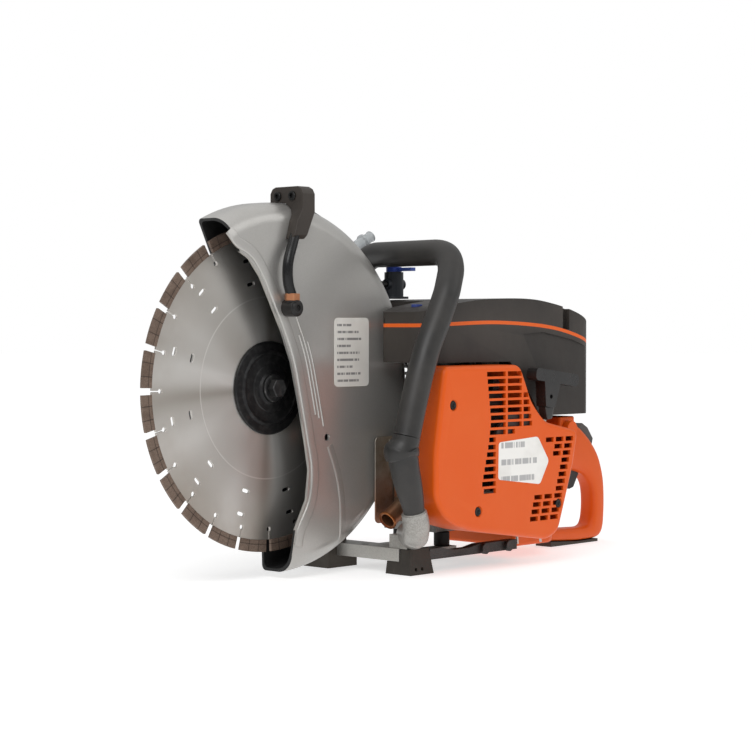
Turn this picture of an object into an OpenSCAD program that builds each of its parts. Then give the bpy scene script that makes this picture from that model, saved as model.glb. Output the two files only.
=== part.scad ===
// Hand-held petrol cut-off saw with a water kit. X runs to the rear handle, Y to the user's right, Z up.
// Every piece is laid out around the blade's centre and set down on the floor by place().

/* [Blade] */
// Diameter of the diamond blade
blade_d = 350; // [345:1:352]
// Thickness of the steel core
core_t = 2.8; // [2.4:0.2:3]
// Thickness of a diamond segment
segment_t = 3.4; // [3:0.2:3.6]
// Radial height of a segment
segment_h = 13; // [10:1:13]
// Number of segments
segment_count = 24; // [18:1:24]
// Gap between two segments in degrees
segment_gap = 2.4; // [1.8:0.2:2.8]
// Height of the blade's centre above the floor
axle_z = 204; // [204:1:206]

/* [Guard] */
// Outer radius of the guard
guard_r = 197; // [196:0.5:198]
// Wall thickness of the guard
guard_t = 3.2; // [3:0.2:3.6]
// Distance from the blade to the outside of the guard's left wall
guard_near = 31; // [30.5:0.5:31.5]
// Distance from the blade to the outside of the guard's right wall
guard_far = 16; // [16:0.1:16.4]
// Radius of the shoulder between the left wall and the rim
guard_shoulder = 22; // [18:1:24]
// How far the guard reaches past the top towards the front, in degrees
guard_lip = 25.5; // [24:0.5:28]

/* [Drive] */
// Distance from the blade's centre back to the crankshaft
crank_x = 258; // [256:1:259]
// Height of the crankshaft relative to the blade's centre
crank_z = -75; // [-76:1:-74]
// Running radius of the clutch pulley
small_pulley_r = 26; // [25:0.5:27]
// Running radius of the blade pulley
large_pulley_r = 52; // [50:0.5:53]

/* [Engine] */
// Bore of the cylinder
bore_d = 51; // [50:0.5:51]
// Stroke of the piston
stroke = 36; // [35:0.5:36]
// Length of the connecting rod between its eyes
rod_length = 68; // [67:0.5:68]
// Number of cooling fins
fin_count = 8; // [6:1:9]

/* [Shell] */
// Wall thickness of the moulded covers
wall = 3; // [2.6:0.2:3.2]
// Outer face of the starter housing, measured from the blade
starter_y = -140; // [-141:1:-139.5]
// Left face of the top covers, measured from the blade
cover_y = -112; // [-113:1:-111]

/* [Front handle] */
// Outer radius of the rubber grip
grip_r = 14.5; // [14:0.5:15]
// Height of the top bar's centre line above the blade's centre
top_bar_z = 147; // [146:1:148]

/* [Hidden] */
$fn = 64;
blade_r = blade_d / 2;
core_r = blade_r - segment_h;
pitch = 360 / segment_count;
crank_throw = stroke / 2;
pin_z = crank_z + crank_throw;
gudgeon_z = pin_z + rod_length;
centre_y = -8;
floor_z = -axle_z;
length_front = -blade_r;
length_rear = 557;
side_left = -145;
side_right = 92;
arm_y = 34;
arm_t = 20;
belt_y = [73, 84];
hub_r = 30;
running = 0.06;
slack = 0.3;
nick = 0.02;
handle_y = -20;
handle_half = 13;
rope_y = -128;
rope_r = 41;
pull_x = 312;
pull_z = -26;
cover_face = side_right - 1.8;
pull_tilt = 7;
block_screw_y = [-6, -28];
bracket_bolt_x = [247, 289];
handle_path = [
    [190, 46, 12], [190, 46, 122], [190, 41, 138], [189, 24, top_bar_z], [176, -90, top_bar_z], [171, -107, 142],
    [162, -119, 128], [143, -129, 102], [126, -130.5, 72], [110, -130.5, 44], [98, -130.5, 14], [87, -130.5, -19],
    [78, -129, -54], [75, -127, -74], [82, -126.5, -98], [90, -126, -116], [95, -125, -131]
];
support_path = [[95.3, -124.9, -132], [100.3, -123.9, -147], [112, -112, -159], [138, -78, -161]];
inlet_axis = [30, 0, 16] / 34;
inlet_base = [190, 62, 151.8];

// Sets the saw down on the floor with its box centred on the origin.
module place()
    translate([-(length_front + length_rear) / 2, -(side_left + side_right) / 2, axle_z]) children();

// Extrudes an outline drawn in X and Z from y0 to y1.
module slab(y0, y1) translate([0, y1, 0]) rotate([90, 0, 0]) linear_extrude(y1 - y0) children();

// Solid of revolution about an axis along Y through x, z: the outline is radius and distance along Y.
module turned(x, z) translate([x, 0, z]) rotate([-90, 0, 0]) rotate_extrude() children();

// Round bar along Y, X or Z.
module bar_y(x, z, r, y0, y1) translate([x, y0, z]) rotate([-90, 0, 0]) cylinder(r = r, h = y1 - y0);
module bar_x(y, z, r, x0, x1) translate([x0, y, z]) rotate([0, 90, 0]) cylinder(r = r, h = x1 - x0);
module bar_z(x, y, r, z0, z1) translate([x, y, z0]) cylinder(r = r, h = z1 - z0);

// Block between two corners.
module block(a, b) translate(a) cube(b - a);

// Round bar between two points.
module rod(a, b, r) {
    d = b - a;
    len = norm(d);
    translate(a) rotate([0, acos(d[2] / len), atan2(d[1], d[0])]) cylinder(r = r, h = len);
}

// Round bar along a list of points, with ball corners that stand a little proud of it.
module bent_bar(path, r) {
    for (i = [0 : len(path) - 2]) rod(path[i], path[i + 1], r - 0.3);
    for (i = [1 : len(path) - 2]) translate(path[i]) sphere(r = r);
}

// Flat ring outline.
module ring(outer, inner) difference() {
    circle(r = outer);
    circle(r = inner);
}

// Rectangle with round corners.
module rounded(a, b, r) {
    translate([a[0] + r, a[1]]) square([b[0] - a[0] - 2 * r, b[1] - a[1]]);
    translate([a[0], a[1] + r]) square([b[0] - a[0], b[1] - a[1] - 2 * r]);
    for (x = [a[0] + r, b[0] - r], y = [a[1] + r, b[1] - r]) translate([x, y]) circle(r = r);
}

// Wedge of the X-Z plane between two angles, counted from the top towards the rear.
module wedge(from, to, r = 260) {
    steps = 12;
    polygon(concat([[0, 0]], [for (i = [0 : steps]) let (a = from + (to - from) * i / steps)
        [r * sin(a), r * cos(a)]]));
}

// Outline of a belt round two pulleys: the blade pulley and the clutch pulley.
module belt_outline(r1, r2) {
    d = norm([crank_x, crank_z]);
    aim = atan2(crank_z, crank_x);
    lean = acos((r1 - r2) / d);
    p = [cos(aim + lean), sin(aim + lean)];
    q = [cos(aim - lean), sin(aim - lean)];
    c = [crank_x, crank_z];
    circle(r = r1);
    translate(c) circle(r = r2);
    polygon([(r1 - nick) * p, c + (r2 - nick) * p, c + (r2 - nick) * q, (r1 - nick) * q]);
}

// ---------------------------------------------------------------- cutting head

module blade_core() color("lightgray") place() slab(-core_t / 2, core_t / 2) difference() {
    circle(r = core_r);
    circle(r = 12.7);
    for (i = [0 : segment_count - 1]) rotate(i * pitch) {
        translate([-0.6, core_r - 11]) square([1.2, 14]);
        translate([0, core_r - 11]) circle(r = 2.6);
    }
    for (i = [0 : 11]) rotate(i * 30 + 13) for (r = [113, 138]) {
        translate([-3, r - 2]) square([6, 4]);
        for (x = [-3, 3]) translate([x, r]) circle(r = 2);
    }
}

module blade_segments() color("rosybrown") place() slab(-segment_t / 2, segment_t / 2)
    for (i = [0 : segment_count - 1]) intersection() {
        ring(blade_r, core_r);
        wedge(i * pitch + segment_gap / 2, (i + 1) * pitch - segment_gap / 2);
    }

module outer_flange() color("dimgray") place() turned(0, 0) polygon([
    [5.1, -9], [16, -9], [19, -6.5], [38, -6.5], [41, -4.5], [50, -4.5], [50, -core_t / 2], [12.9, -core_t / 2],
    [12.9, -4], [5.1, -4]
]);

module inner_flange() color("dimgray") place() turned(0, 0) polygon([
    [12.7, core_t / 2], [50, core_t / 2], [50, 5], [41, 6], [24, 12], [12.7, 12]
]);

module blade_bolt() color("darkslategray") place() {
    bar_y(0, 0, 5, -9, 24);
    bar_y(0, 0, 15, -12, -9);
    slab(-20, -12) circle(r = 10.5, $fn = 6);
}

module spindle_shaft() color("silver") place() difference() {
    turned(0, 0) polygon([[0, -4], [12.6, -4], [12.6, 13.5], [10, 13.5], [10, 87], [0, 87]]);
    bar_y(0, 0, 5, -5, 24);
}

module spindle_bearings() color("gainsboro") place()
    for (y = [15, 40]) turned(0, 0) translate([10, y]) square([11, 12]);

module blade_pulley() color("slategray") place() difference() {
    turned(0, 0) polygon([
        [10, 70], [large_pulley_r + 3, 70], [large_pulley_r + 3, belt_y[0] - 1], [large_pulley_r, belt_y[0] - 1],
        [large_pulley_r, belt_y[1] + 1], [large_pulley_r + 3, belt_y[1] + 1], [large_pulley_r + 3, 87], [10, 87]
    ]);
    for (i = [0 : 5]) rotate([0, i * 60, 0]) bar_y(31, 0, 9, 69, 89);
}

module drive_belt() color("black") place() slab(belt_y[0], belt_y[1]) difference() {
    belt_outline(large_pulley_r + 5, small_pulley_r + 5);
    belt_outline(large_pulley_r + slack, small_pulley_r + slack);
}

module cutting_arm() color("dimgray") place() difference() {
    union() {
        slab(arm_y, arm_y + arm_t) belt_outline(44, 54);
        bar_y(0, 0, hub_r, 12.6, arm_y);
        block([176, 34, -30], [204, 54, 8]);
    }
    bar_y(0, 0, 21, 12, 27);
    bar_y(0, 0, 14, 26, 41);
    bar_y(0, 0, 21, 40, arm_y + arm_t + 1);
    bar_y(crank_x, crank_z, 38, arm_y - 1, arm_y + arm_t + 1);
    slab(arm_y + 4, arm_y + arm_t + 1) rotate(atan2(crank_z, crank_x))
        rounded([62, -22], [188, 22], 8);
    for (x = [82, 170]) slab(arm_y - 1, arm_y + 5) rotate(atan2(crank_z, crank_x)) translate([x, 0]) circle(r = 3);
}

module belt_cover() color("dimgray") place() difference() {
    slab(arm_y + arm_t + 1, cover_face) belt_outline(64, 46);
    slab(arm_y + arm_t, cover_face - 2.4) belt_outline(61, 43);
    for (p = cover_screw_points()) bar_y(p[0], p[1], 2.5, cover_face - 5, cover_face + 1);
}

// Places of the belt cover's screws.
function cover_screw_points() = [[-50, 0], [52, 34], [30, -54], [190, -8], [170, -86], [286, -96]];

module cover_screws() color("silver") place() for (p = cover_screw_points()) {
    bar_y(p[0], p[1], 2.5, cover_face - 3, cover_face + 0.5);
    bar_y(p[0], p[1], 4.5, cover_face, side_right);
}

module belt_tensioner() color("silver") place() {
    rod([110, 44, 18], [146, 44, 7.5], 4);
    translate([110, 44, 18]) rotate([0, 106, 0]) cylinder(r = 7, h = 6, center = true, $fn = 6);
}

// ---------------------------------------------------------------- guard and water kit

// Half of the guard's cross-section: radius across, distance along the axle up.
module guard_section(inset) {
    r = guard_r - inset;
    near = guard_near - inset;
    far = guard_far - inset;
    s = guard_shoulder;
    translate([0, -near]) square([r - s, near + far]);
    translate([0, s - near]) square([r, near + far - s - 6]);
    translate([r - s, s - near]) intersection() { circle(r = s); translate([-s, -s]) square([2 * s, s]); }
    translate([r - s, far - 6]) square([s - 6, 6]);
    translate([r - 6, far - 6]) circle(r = 6);
}

// Region that the near wall covers, behind its swept front edge.
module near_region() intersection() {
    wedge(-guard_lip, 178);
    polygon([
        [-110, 200], [-97, 172], [-78, 148], [-55, 136], [-39, 117], [-25, 92], [-8, 60], [6, 27], [16, -12],
        [26, -56], [32, -88], [28, -120], [11, -151], [6, -177], [6, -230], [260, -230], [260, 230], [-110, 230]
    ]);
}

// Region that the far wall covers, with the round boss about the arm's hub.
module far_region() {
    wedge(-guard_lip, 178);
    circle(r = 56);
}

module blade_guard() color("silver") place() difference() {
    union() {
        intersection() {
            turned(0, 0) difference() { guard_section(0); guard_section(guard_t); }
            slab(-40, 0) near_region();
        }
        intersection() {
            turned(0, 0) difference() { guard_section(0); guard_section(guard_t); }
            slab(0, 40) far_region();
        }
    }
    bar_y(0, 0, hub_r + 0.08, 5, 40);
    bar_y(59, -54, 4, -40, 0);
}

module water_block() color("dimgray") place() difference() {
    intersection() {
        translate([-4, 0, 0]) rotate([90, 0, 90]) linear_extrude(32) polygon([
            [6, 197.3], [-9, 197.6], [-17.6, 195.9], [-25, 191], [-29.9, 183.6], [-31.6, 175], [-31.6, 158], [-41, 158],
            [-44, 162], [-44, 206], [-41, 211], [-36, 214], [-2, 214], [3, 212], [6, 207]
        ]);
        slab(-50, 10) polygon([[10, 220], [24, 220], [28, 212], [28, 187], [14, 156], [-4, 156], [2, 176], [10, 190]]);
    }
    for (y = block_screw_y) bar_x(y, 204, 3, 9, 20);
}

module block_screws() color("black") place() for (y = block_screw_y) {
    bar_x(y, 204, 2.9, 10, 18);
    bar_x(y, 204, 5, 8, 10);
}

module spray_hose() color("black") place()
    bent_bar([[4, -38, 162], [0, -39, 154], [-7, -41, 142], [-11, -42, 124], [-9, -42, 106], [-5, -42, 100]], 5.6);

module spray_nozzle() color("darkgoldenrod") place() {
    bar_z(-4, -42, 7, 93, 100);
    difference() {
        bar_y(-2, 85, 9, -50, -guard_near);
        bar_y(-2, 85, 3, -51, -46);
    }
    bar_z(-3, -42, 6, 85, 93);
}

module guard_line() color("black") place() {
    bent_bar([for (a = [14 : 6 : 50]) [202 * sin(a), 6, 202 * cos(a)]], 3.5);
    for (a = [26, 44]) rotate([0, a, 0]) block([-4, 2, guard_r + 0.2], [4, 10, guard_r + 1.4]);
}

module tap_hose() color("black") place() {
    rod([167, 16, 124], [188, 17, 114.5], 3.5);
    rod([186, 17, 115], [212, 22, 114], 3.4);
    bent_bar([inlet_base, [179, 64, 138], [190, 68, 119], [214, 60, 111], [222, 32, 111]], 3.5);
}

module water_tap() color("darkslategray") place() {
    bar_z(222, 22, 11, 98, 128);
    bar_x(22, 114, 6, 208, 236);
    block([208, 12, 97.3], [236, 32, 100]);
}

module tap_lever() color("royalblue") place() {
    bar_z(222, 22, 9, 128.3, 134);
    block([218, -8, 129], [226, 22, 133]);
}

module water_connector() color("whitesmoke") place() difference() {
    union() {
        rod(inlet_base, inlet_base + 40 * inlet_axis, 7);
        rod(inlet_base, inlet_base + 8 * inlet_axis, 9);
        rod(inlet_base + 24 * inlet_axis, inlet_base + 28 * inlet_axis, 9);
    }
    rod(inlet_base + 14 * inlet_axis, inlet_base + 41 * inlet_axis, 4.5);
}

// ---------------------------------------------------------------- engine

module crankcase() color("gray") place() difference() {
    union() {
        bar_y(crank_x, crank_z, 48, -46, 33.5);
        block([crank_x - 44, -46, crank_z], [crank_x + 44, 33.5, -37]);
        slab(-88, -82) starter_outline(6);
        for (a = [45 : 90 : 315]) bar_y(crank_x + 38 * cos(a), crank_z + 38 * sin(a), 6, -82, -46);
        block([crank_x - 40, -46, -168], [crank_x + 40, 33.5, crank_z]);
    }
    block([crank_x - 60, -50, -37], [crank_x + 60, 40, -20]);
    bar_y(crank_x, 4, 4, -90, -80);
    bar_y(crank_x, crank_z, 37, -30, 14);
    bar_z(crank_x, centre_y, 27, crank_z, -36);
    bar_y(crank_x, crank_z, 20, -43, 28);
    bar_y(crank_x, crank_z, 12, -90, 40);
    block([crank_x - 34, -40, -169], [crank_x + 34, 28, -128]);
}

module crankshaft() color("silver") place() {
    turned(crank_x, crank_z) polygon([
        [0, -112], [6, -112], [7.5, -108], [8, -100], [8, -27], [33, -27], [33, -14], [0, -14]
    ]);
    turned(crank_x, crank_z) polygon([[0, -2], [33, -2], [33, 11], [8, 11], [8, 87], [0, 87]]);
    bar_y(crank_x, pin_z, 9, -14, -2);
}

module crank_bearings() color("gainsboro") place()
    for (y = [-43, 15]) turned(crank_x, crank_z) translate([8 + running, y]) square([12 - running, 12]);

module rod_big_end() color("darkgray") place()
    translate([crank_x, 0, pin_z]) slab(-13, -3) ring(14.5, 9);

module connecting_rod() color("darkgray") place() difference() {
    union() {
        translate([crank_x, 0, gudgeon_z]) slab(-13, -3) circle(r = 10);
        slab(-11, -5) polygon([
            [crank_x - 9, pin_z + 16], [crank_x + 9, pin_z + 16], [crank_x + 6, gudgeon_z], [crank_x - 6, gudgeon_z]
        ]);
    }
    bar_y(crank_x, gudgeon_z, 6, -20, 4);
}

module piston() color("lightgray") place() {
    r = bore_d / 2 - running;
    difference() {
        bar_z(crank_x, centre_y, r, gudgeon_z - 18, gudgeon_z + 20);
        bar_z(crank_x, centre_y, r - 4, gudgeon_z - 19, gudgeon_z + 13);
        bar_y(crank_x, gudgeon_z, 6, -40, 30);
    }
    bar_y(crank_x, gudgeon_z, 6, centre_y - 23, centre_y + 23);
}

module cylinder_barrel() {
    bar_z(crank_x, centre_y, 31, -36.9, 44);
    bar_z(crank_x, centre_y, 37, -36.9, -30);
    for (i = [0 : fin_count - 1]) bar_z(crank_x, centre_y, 41, -22 + i * 8, -19.5 + i * 8);
}

module engine_cylinder() color("darkgray") place() difference() {
    cylinder_barrel();
    bar_z(crank_x, centre_y, bore_d / 2, -40, 32.5);
    bar_z(crank_x, centre_y, 7, 30, 50);
    bar_x(centre_y, 12, 9.4, crank_x + 26, crank_x + 50);
    bar_x(centre_y, -6, 9.3, crank_x - 50, crank_x - 26);
}

module spark_plug() color("white") place() {
    bar_z(crank_x, centre_y, 7, 33, 44);
    bar_z(crank_x, centre_y, 11, 44, 52);
    bar_z(crank_x, centre_y, 5.5, 52, 70);
    bar_z(crank_x, centre_y, 8.5, 70, 84);
}

module ignition_module() color("black") place() {
    block([crank_x - 24, -106, -24], [crank_x + 5, -92, -6]);
    block([crank_x - 8, -104, -8], [crank_x + 2.6, -91, 7]);
    for (x = [-20, 4]) block([crank_x + x - 4, -104, -26], [crank_x + x + 4, -94, -24]);
    bent_bar([[crank_x, -92, 4], [crank_x, -66, 4], [crank_x, -60, 74], [crank_x, -52, 79],
        [crank_x, -16.4, 79]], 2.5);
}

module flywheel() color("darkgray") place() difference() {
    union() {
        turned(crank_x, crank_z) polygon([[8, -111], [16, -111], [20, -96], [47, -96], [47, -90], [8, -90]]);
        for (i = [0 : 11]) translate([crank_x, 0, crank_z]) rotate([0, i * 30, 0])
            block([19, -110, -1.5], [45, -96, 1.5]);
    }
}

module clutch_hub() color("darkgray") place() {
    turned(crank_x, crank_z) translate([8, 55]) square([6, 13]);
    for (a = [0, 120, 240]) translate([crank_x, 0, crank_z]) slab(56, 67) rotate(a) intersection() {
        ring(31, 14);
        wedge(-54, 54, 60);
    }
}

module clutch_drum() color("slategray") place() {
    turned(crank_x, crank_z) polygon([
        [8 + running, 68.5], [33, 68.5], [33, 54.5], [36, 54.5], [36, 71], [small_pulley_r, 71],
        [small_pulley_r, 86], [8 + running, 86]
    ]);
}

module muffler() color("slategray") place() difference() {
    intersection() {
        block([157, -80, -150], [208, -39, -50]);
        slab(-90, -30) rounded([157, -150], [208, -50], 10);
    }
    block([159, -78, -148], [206, -41, -52]);
    rod([165, -56, -124], [150, -56, -133], 10);
}

module exhaust_pipe() color("tan") place() difference() {
    union() {
        rod([166, -56, -123.4], [127, -57, -147], 9.8);
        rod([156, -56, -129.4], [152, -56, -131.8], 12);
    }
    rod([170, -56, -121], [120, -57, -151.3], 8);
    block([157, -80, -150], [200, -40, -50]);
}

module heat_shield() color("lightgray") place() {
    slab(-37.5, -36) rounded([128, -152], [204, -56], 6);
    block([150, -38.6, -90], [156, -37.5, -60]);
}

module carburettor() color("silver") place() difference() {
    union() {
        block([320, -28, -10], [352, 12, 30]);
        bar_x(centre_y, 12, 15, 312, 320);
        bar_x(centre_y, 12, 15, 352, 360);
        block([326, -24, -18], [346, 8, -10]);
    }
    bar_x(centre_y, 12, 10, 310, 370);
}

module intake_boot() color("black") place()
    translate([crank_x + 30, centre_y, 12]) rotate([0, 90, 0]) rotate_extrude()
        polygon([[10.2, 11.3], [18, 11.3], [14, 14], [18, 17], [18, 23.8], [10.2, 23.8]]);

module air_filter() color("wheat") place() difference() {
    union() {
        block([316, -72, 34], [418, 34, 46]);
        for (x = [320 : 9 : 410]) block([x, -70, 46], [x + 5, 34, 52]);
    }
    block([330, -60, 33], [410, 24, 36]);
}

// ---------------------------------------------------------------- top covers

// Plan of the top covers, shrunk by an inset.
module cover_plan(i) difference() {
    rounded([135 + i, cover_y + i], [430 - i, 56 - i], 34 - i);
    translate([100, -40 - i]) square([108 + i, 120]);
}

// Side view of the top covers, shrunk by an inset at the top and ends.
module cover_side(i) polygon([
    [134 + i, 26], [134 + i, 82 - i], [160, 88 - i], [225, 96 - i], [300, 97 - i], [350, 91 - i], [392, 81 - i],
    [431 - i, 68 - i], [431 - i, -37], [345, -37], [322, -34], [296, 2], [270, 26]
]);

// Band that the stripe runs along; above is its distance over the stripe's centre line.
function stripe_line(above) = [[130, 67 + above], [250, 70 + above], [330, 66 + above], [385, 57 + above],
    [445, 40 + above]];

module cover_shell() difference() {
    intersection() {
        translate([0, 0, -60]) linear_extrude(180) cover_plan(0);
        slab(cover_y - 1, 60) cover_side(0);
    }
    intersection() {
        translate([0, 0, -61]) linear_extrude(182) cover_plan(wall);
        slab(cover_y - 1, 60) union() {
            cover_side(wall);
            translate([134 + wall, -61]) square([297 - 2 * wall, 100]);
        }
    }
}

module filter_cover() color("dimgray") place() difference() {
    intersection() {
        cover_shell();
        slab(cover_y - 2, 61) polygon(concat(stripe_line(2), [[445, 130], [130, 130]]));
    }
    bar_z(160, -70, 6.5, 60, 130);
    block([372, cover_y - 1, 62], [380, cover_y + 1.8, 78]);
}

module trim_stripe() color("darkorange") place() intersection() {
    cover_shell();
    slab(cover_y - 2, 61) polygon(concat(stripe_line(2), [for (i = [4 : -1 : 0]) stripe_line(-2)[i]]));
}

module cylinder_cover() color("dimgray") place() intersection() {
    cover_shell();
    slab(cover_y - 2, 61) polygon(concat([for (i = [0 : 4]) stripe_line(-2)[i]], [[445, -70], [130, -70]]));
}

module decompression_button() color("steelblue") place() {
    bar_z(160, -70, 6.2, 78, 90);
    bar_z(160, -70, 8, 75, 78);
}

// ---------------------------------------------------------------- starter

// Side outline of the starter housing, shrunk by an inset.
module starter_outline(i) polygon([
    [128 + i, 23 - i], [256 - i, 23 - i], [268 - i, 0], [275 - i, -16], [288 - i, -30], [302, -42 - i],
    [361 - i, -54 - i], [352 - i, -94], [338 - i, -133], [325 - i, -168 + i], [306, -176 + i], [182, -158 + i],
    [150, -150 + i], [128 + i, -138 + i], [113 + i, -118], [113 + i, -70]
]);

// One cooling slot in the outer face.
module vent(x0, x1, top, height) block([x0, starter_y - 1, top - height], [x1, starter_y + wall + 1, top]);

// Left edge of the tall block of slots, and right edge of the name plate beside the leaning block.
function tall_edge(z) = lookup(z, [[-119, 194], [-104, 189], [-80, 195], [-60, 200], [-35, 204], [16, 197]]);
function plate_edge(z) = lookup(z, [[-150, 250], [-120, 252], [-117, 297], [-88, 315], [-60, 288]]);

module vents() {
    for (r = [0 : 16]) let (z = 16 - 8 * r) {
        vent(tall_edge(z), z < -50 ? 212 : 227, z, 4.8);
        if (r < 9) vent(232, 256 - max(0, r - 7) * 12, z, 4.8);
        if (r > 2 && r < 8) vent(260, 264 + 1.6 * r, z, 4.8);
    }
    for (r = [0 : 11], c = [-2 : 3]) let (z = -60 - 8 * r, x = 300 + 18 * c - 2.56 * r)
        if (x > plate_edge(z) + 5 && x > 262) vent(x, x + (c == 3 ? 8 : 14), z, 4.8);
}

module starter_housing() color("orangered") place() {
    difference() {
        intersection() {
            slab(starter_y, -88) starter_outline(0);
            translate([0, 0, -200]) linear_extrude(260) rounded([112, starter_y], [364, -60], 12);
        }
        intersection() {
            slab(starter_y + wall, -87) starter_outline(wall);
            translate([0, 0, -200]) linear_extrude(260)
                rounded([112 + wall, starter_y + wall], [364 - wall, -50], 12 - wall);
        }
        vents();
        rod([pull_x - 4, rope_y, pull_z - 32], [pull_x, rope_y, pull_z + 2], 3);
        for (p = [[146, -19], [184, -140]]) bar_y(p[0], p[1], 3.2, starter_y - 1, -100);
    }
    bar_y(crank_x, crank_z, 7, starter_y + wall, -115);
}

module rope_pulley() color("black") place() turned(crank_x, crank_z) polygon([
    [7 + running, -135.5], [46, -135.5], [46, -131], [rope_r - 2, -130.5], [rope_r - 2, -125.5], [46, -125],
    [46, -122.5], [7 + running, -122.5]
]);

// Point i of a flat spiral, 16 points a turn, at t outside its inner edge.
function spiral(i, t) = (12 + 6.2 * i / 16 + t) * [cos(i * 22.5), sin(i * 22.5)];

// Flat spiral spring that winds the rope back.
module starter_spring() color("silver") place()
    translate([crank_x, 0, crank_z]) slab(-121.5, -115) polygon(concat(
        [for (i = [0 : 64]) spiral(i, 0)],
        [for (i = [64 : -1 : 0]) spiral(i, 1.2)]
    ));

module starter_handle() color("dimgray") place()
    translate([pull_x, rope_y - 2, pull_z]) rotate([0, pull_tilt, 0]) slab(-7, 7) difference() {
        union() {
            rounded([-30, 28], [48, 42], 5);
            polygon([[-15, 35], [17, 35], [8, 0], [-8, 0]]);
        }
        translate([0, 12]) circle(r = 2.5);
    }

// ---------------------------------------------------------------- rear handle

module rear_loop() difference() {
    polygon([
        [425, -41], [478, -46], [505, -57], [530, -76], [546, -96], [555, -122], [557, -152], [555, -188],
        [546, -200], [500, -201], [425, -196]
    ]);
    polygon([
        [448, -110], [496, -113], [516, -119], [530, -133], [533, -155], [530, -177], [522, -185], [440, -182],
        [440, -118]
    ]);
}

// Plan of the fuel tank, shrunk by an inset.
module tank_plan(i) polygon([
    [318 + i, -80 + i], [388 - i, -80 + i], [432 - i, -38 + i], [432 - i, 36 - i], [318 + i, 36 - i]
]);

module rear_handle_tank() color("orangered") place() difference() {
    union() {
        difference() {
            union() {
                translate([0, 0, -190]) linear_extrude(150) tank_plan(0);
                block([372, -104, -76], [400, -78, -40]);
                slab(handle_y - handle_half, handle_y + handle_half) rear_loop();
            }
            translate([0, 0, -184]) linear_extrude(124) tank_plan(4);
        }
        bar_y(395, -140, 22, 28, 40);
    }
    bar_y(395, -140, 17, 20, 41);
    slab(handle_y - 5, handle_y + 5) polygon([[472, -125], [516, -125], [514, -99], [472, -96]]);
    slab(handle_y - 6, handle_y + 6) polygon([[498, -46], [556, -74], [548, -98], [502, -86]]);
    bar_y(384, -54, 5, -106, -70);
}

module fuel_cap() color("black") place() difference() {
    union() {
        bar_y(395, -140, 16.7, 30, 42);
        slab(42, 52) difference() {
            translate([395, -140]) circle(r = 26);
            for (a = [0 : 30 : 330]) translate([395 + 28 * cos(a), -140 + 28 * sin(a)]) circle(r = 4);
        }
    }
}

module throttle_trigger() color("black") place() slab(handle_y - 4.5, handle_y + 4.5) {
    polygon([[478, -104], [484, -104], [508, -112], [510, -118], [500, -134], [492, -136], [482, -122], [477, -112]]);
    translate([480, -107]) circle(r = 4.5);
}

module throttle_lockout() color("dimgray") place() slab(handle_y - 5.5, handle_y + 5.5) {
    polygon([[508, -74], [509, -61], [516, -55], [527, -61], [538, -75], [535, -85], [524, -81]]);
    translate([512, -70]) circle(r = 5.5);
}

module stop_switch() color("red") place() {
    bar_y(466, -66, 6, handle_y - handle_half - 3, handle_y - handle_half - 0.2);
    block([464, handle_y - handle_half - 6, -72], [468, handle_y - handle_half - 3, -60]);
}

module choke_knob() color("darkorange") place() {
    bar_y(384, -54, 4.9, -105, -72);
    bar_y(384, -54, 9, -113, -104.3);
}

// ---------------------------------------------------------------- frame

module front_handle() color("dimgray") place() {
    bent_bar(handle_path, grip_r);
    bar_z(75, -127, 18, -80, -72);
    block([176, 36, 8.3], [204, 56, 12]);
}

module front_support() color("lightgray") place() difference() {
    union() {
        bent_bar(support_path, 14);
        block([122, -90, -176], [148, -64, -161]);
        block([120, -80, -190], [150, 30, -176]);
        block([150, -55, -190], [244, -38, -184]);
        block([150, 8, -190], [244, 28, -184]);
    }
    bar_z(130, -20, 4, -192, -170);
    for (y = [-47, 18]) bar_z(190, y, 3.3, -191, -180);
}

module side_bracket() color("dimgray") place() {
    difference() {
        slab(-93, -82) polygon([
            [156, -190], [306, -190], [306, -179], [240, -179], [222, -182], [196, -182], [176, -178], [156, -178]
        ]);
        for (x = bracket_bolt_x) bar_y(x, -185, 3, -94, -81);
    }
    for (x = bracket_bolt_x) bar_y(x, -185, 3, -93, -82);
    for (x = bracket_bolt_x) bar_y(x, -185, 6, -97, -93);
}

// Rubber isolators: two stand under the crankcase, two lie between it and the tank.
module vibration_mounts() color("black") place() {
    for (y = [-43, 20]) bar_z(232, y, 9, -184, -168);
    for (y = [-30, 14]) bar_x(y, -110, 9, crank_x + 40, 318);
}

// Left foot, narrower at the top.
module foot() intersection() {
    slab(-99, -62) polygon([[118, floor_z], [156, floor_z], [152, -176], [122, -176]]);
    translate([100, 0, 0]) rotate([90, 0, 90]) linear_extrude(80)
        polygon([[-99, floor_z], [-62, floor_z], [-63, -176], [-95, -176]]);
}

module rubber_feet() color("darkslategray") place() {
    difference() {
        foot();
        block([119.5, -81, -190.3], [150.5, -56, -175]);
        for (x = [128, 138]) bar_y(x, -198, 2, -100, -90);
    }
    difference() {
        slab(14, 54) polygon([[106, floor_z], [152, floor_z], [152, -158], [136, -158], [108, -174]]);
        block([119.5, 13, -190.3], [153, 30.5, -157]);
    }
    slab(handle_y - 12, handle_y + 12)
        polygon([[446, floor_z], [540, floor_z], [540, -200.4], [500, -201.1], [446, -197.6]]);
}

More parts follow.
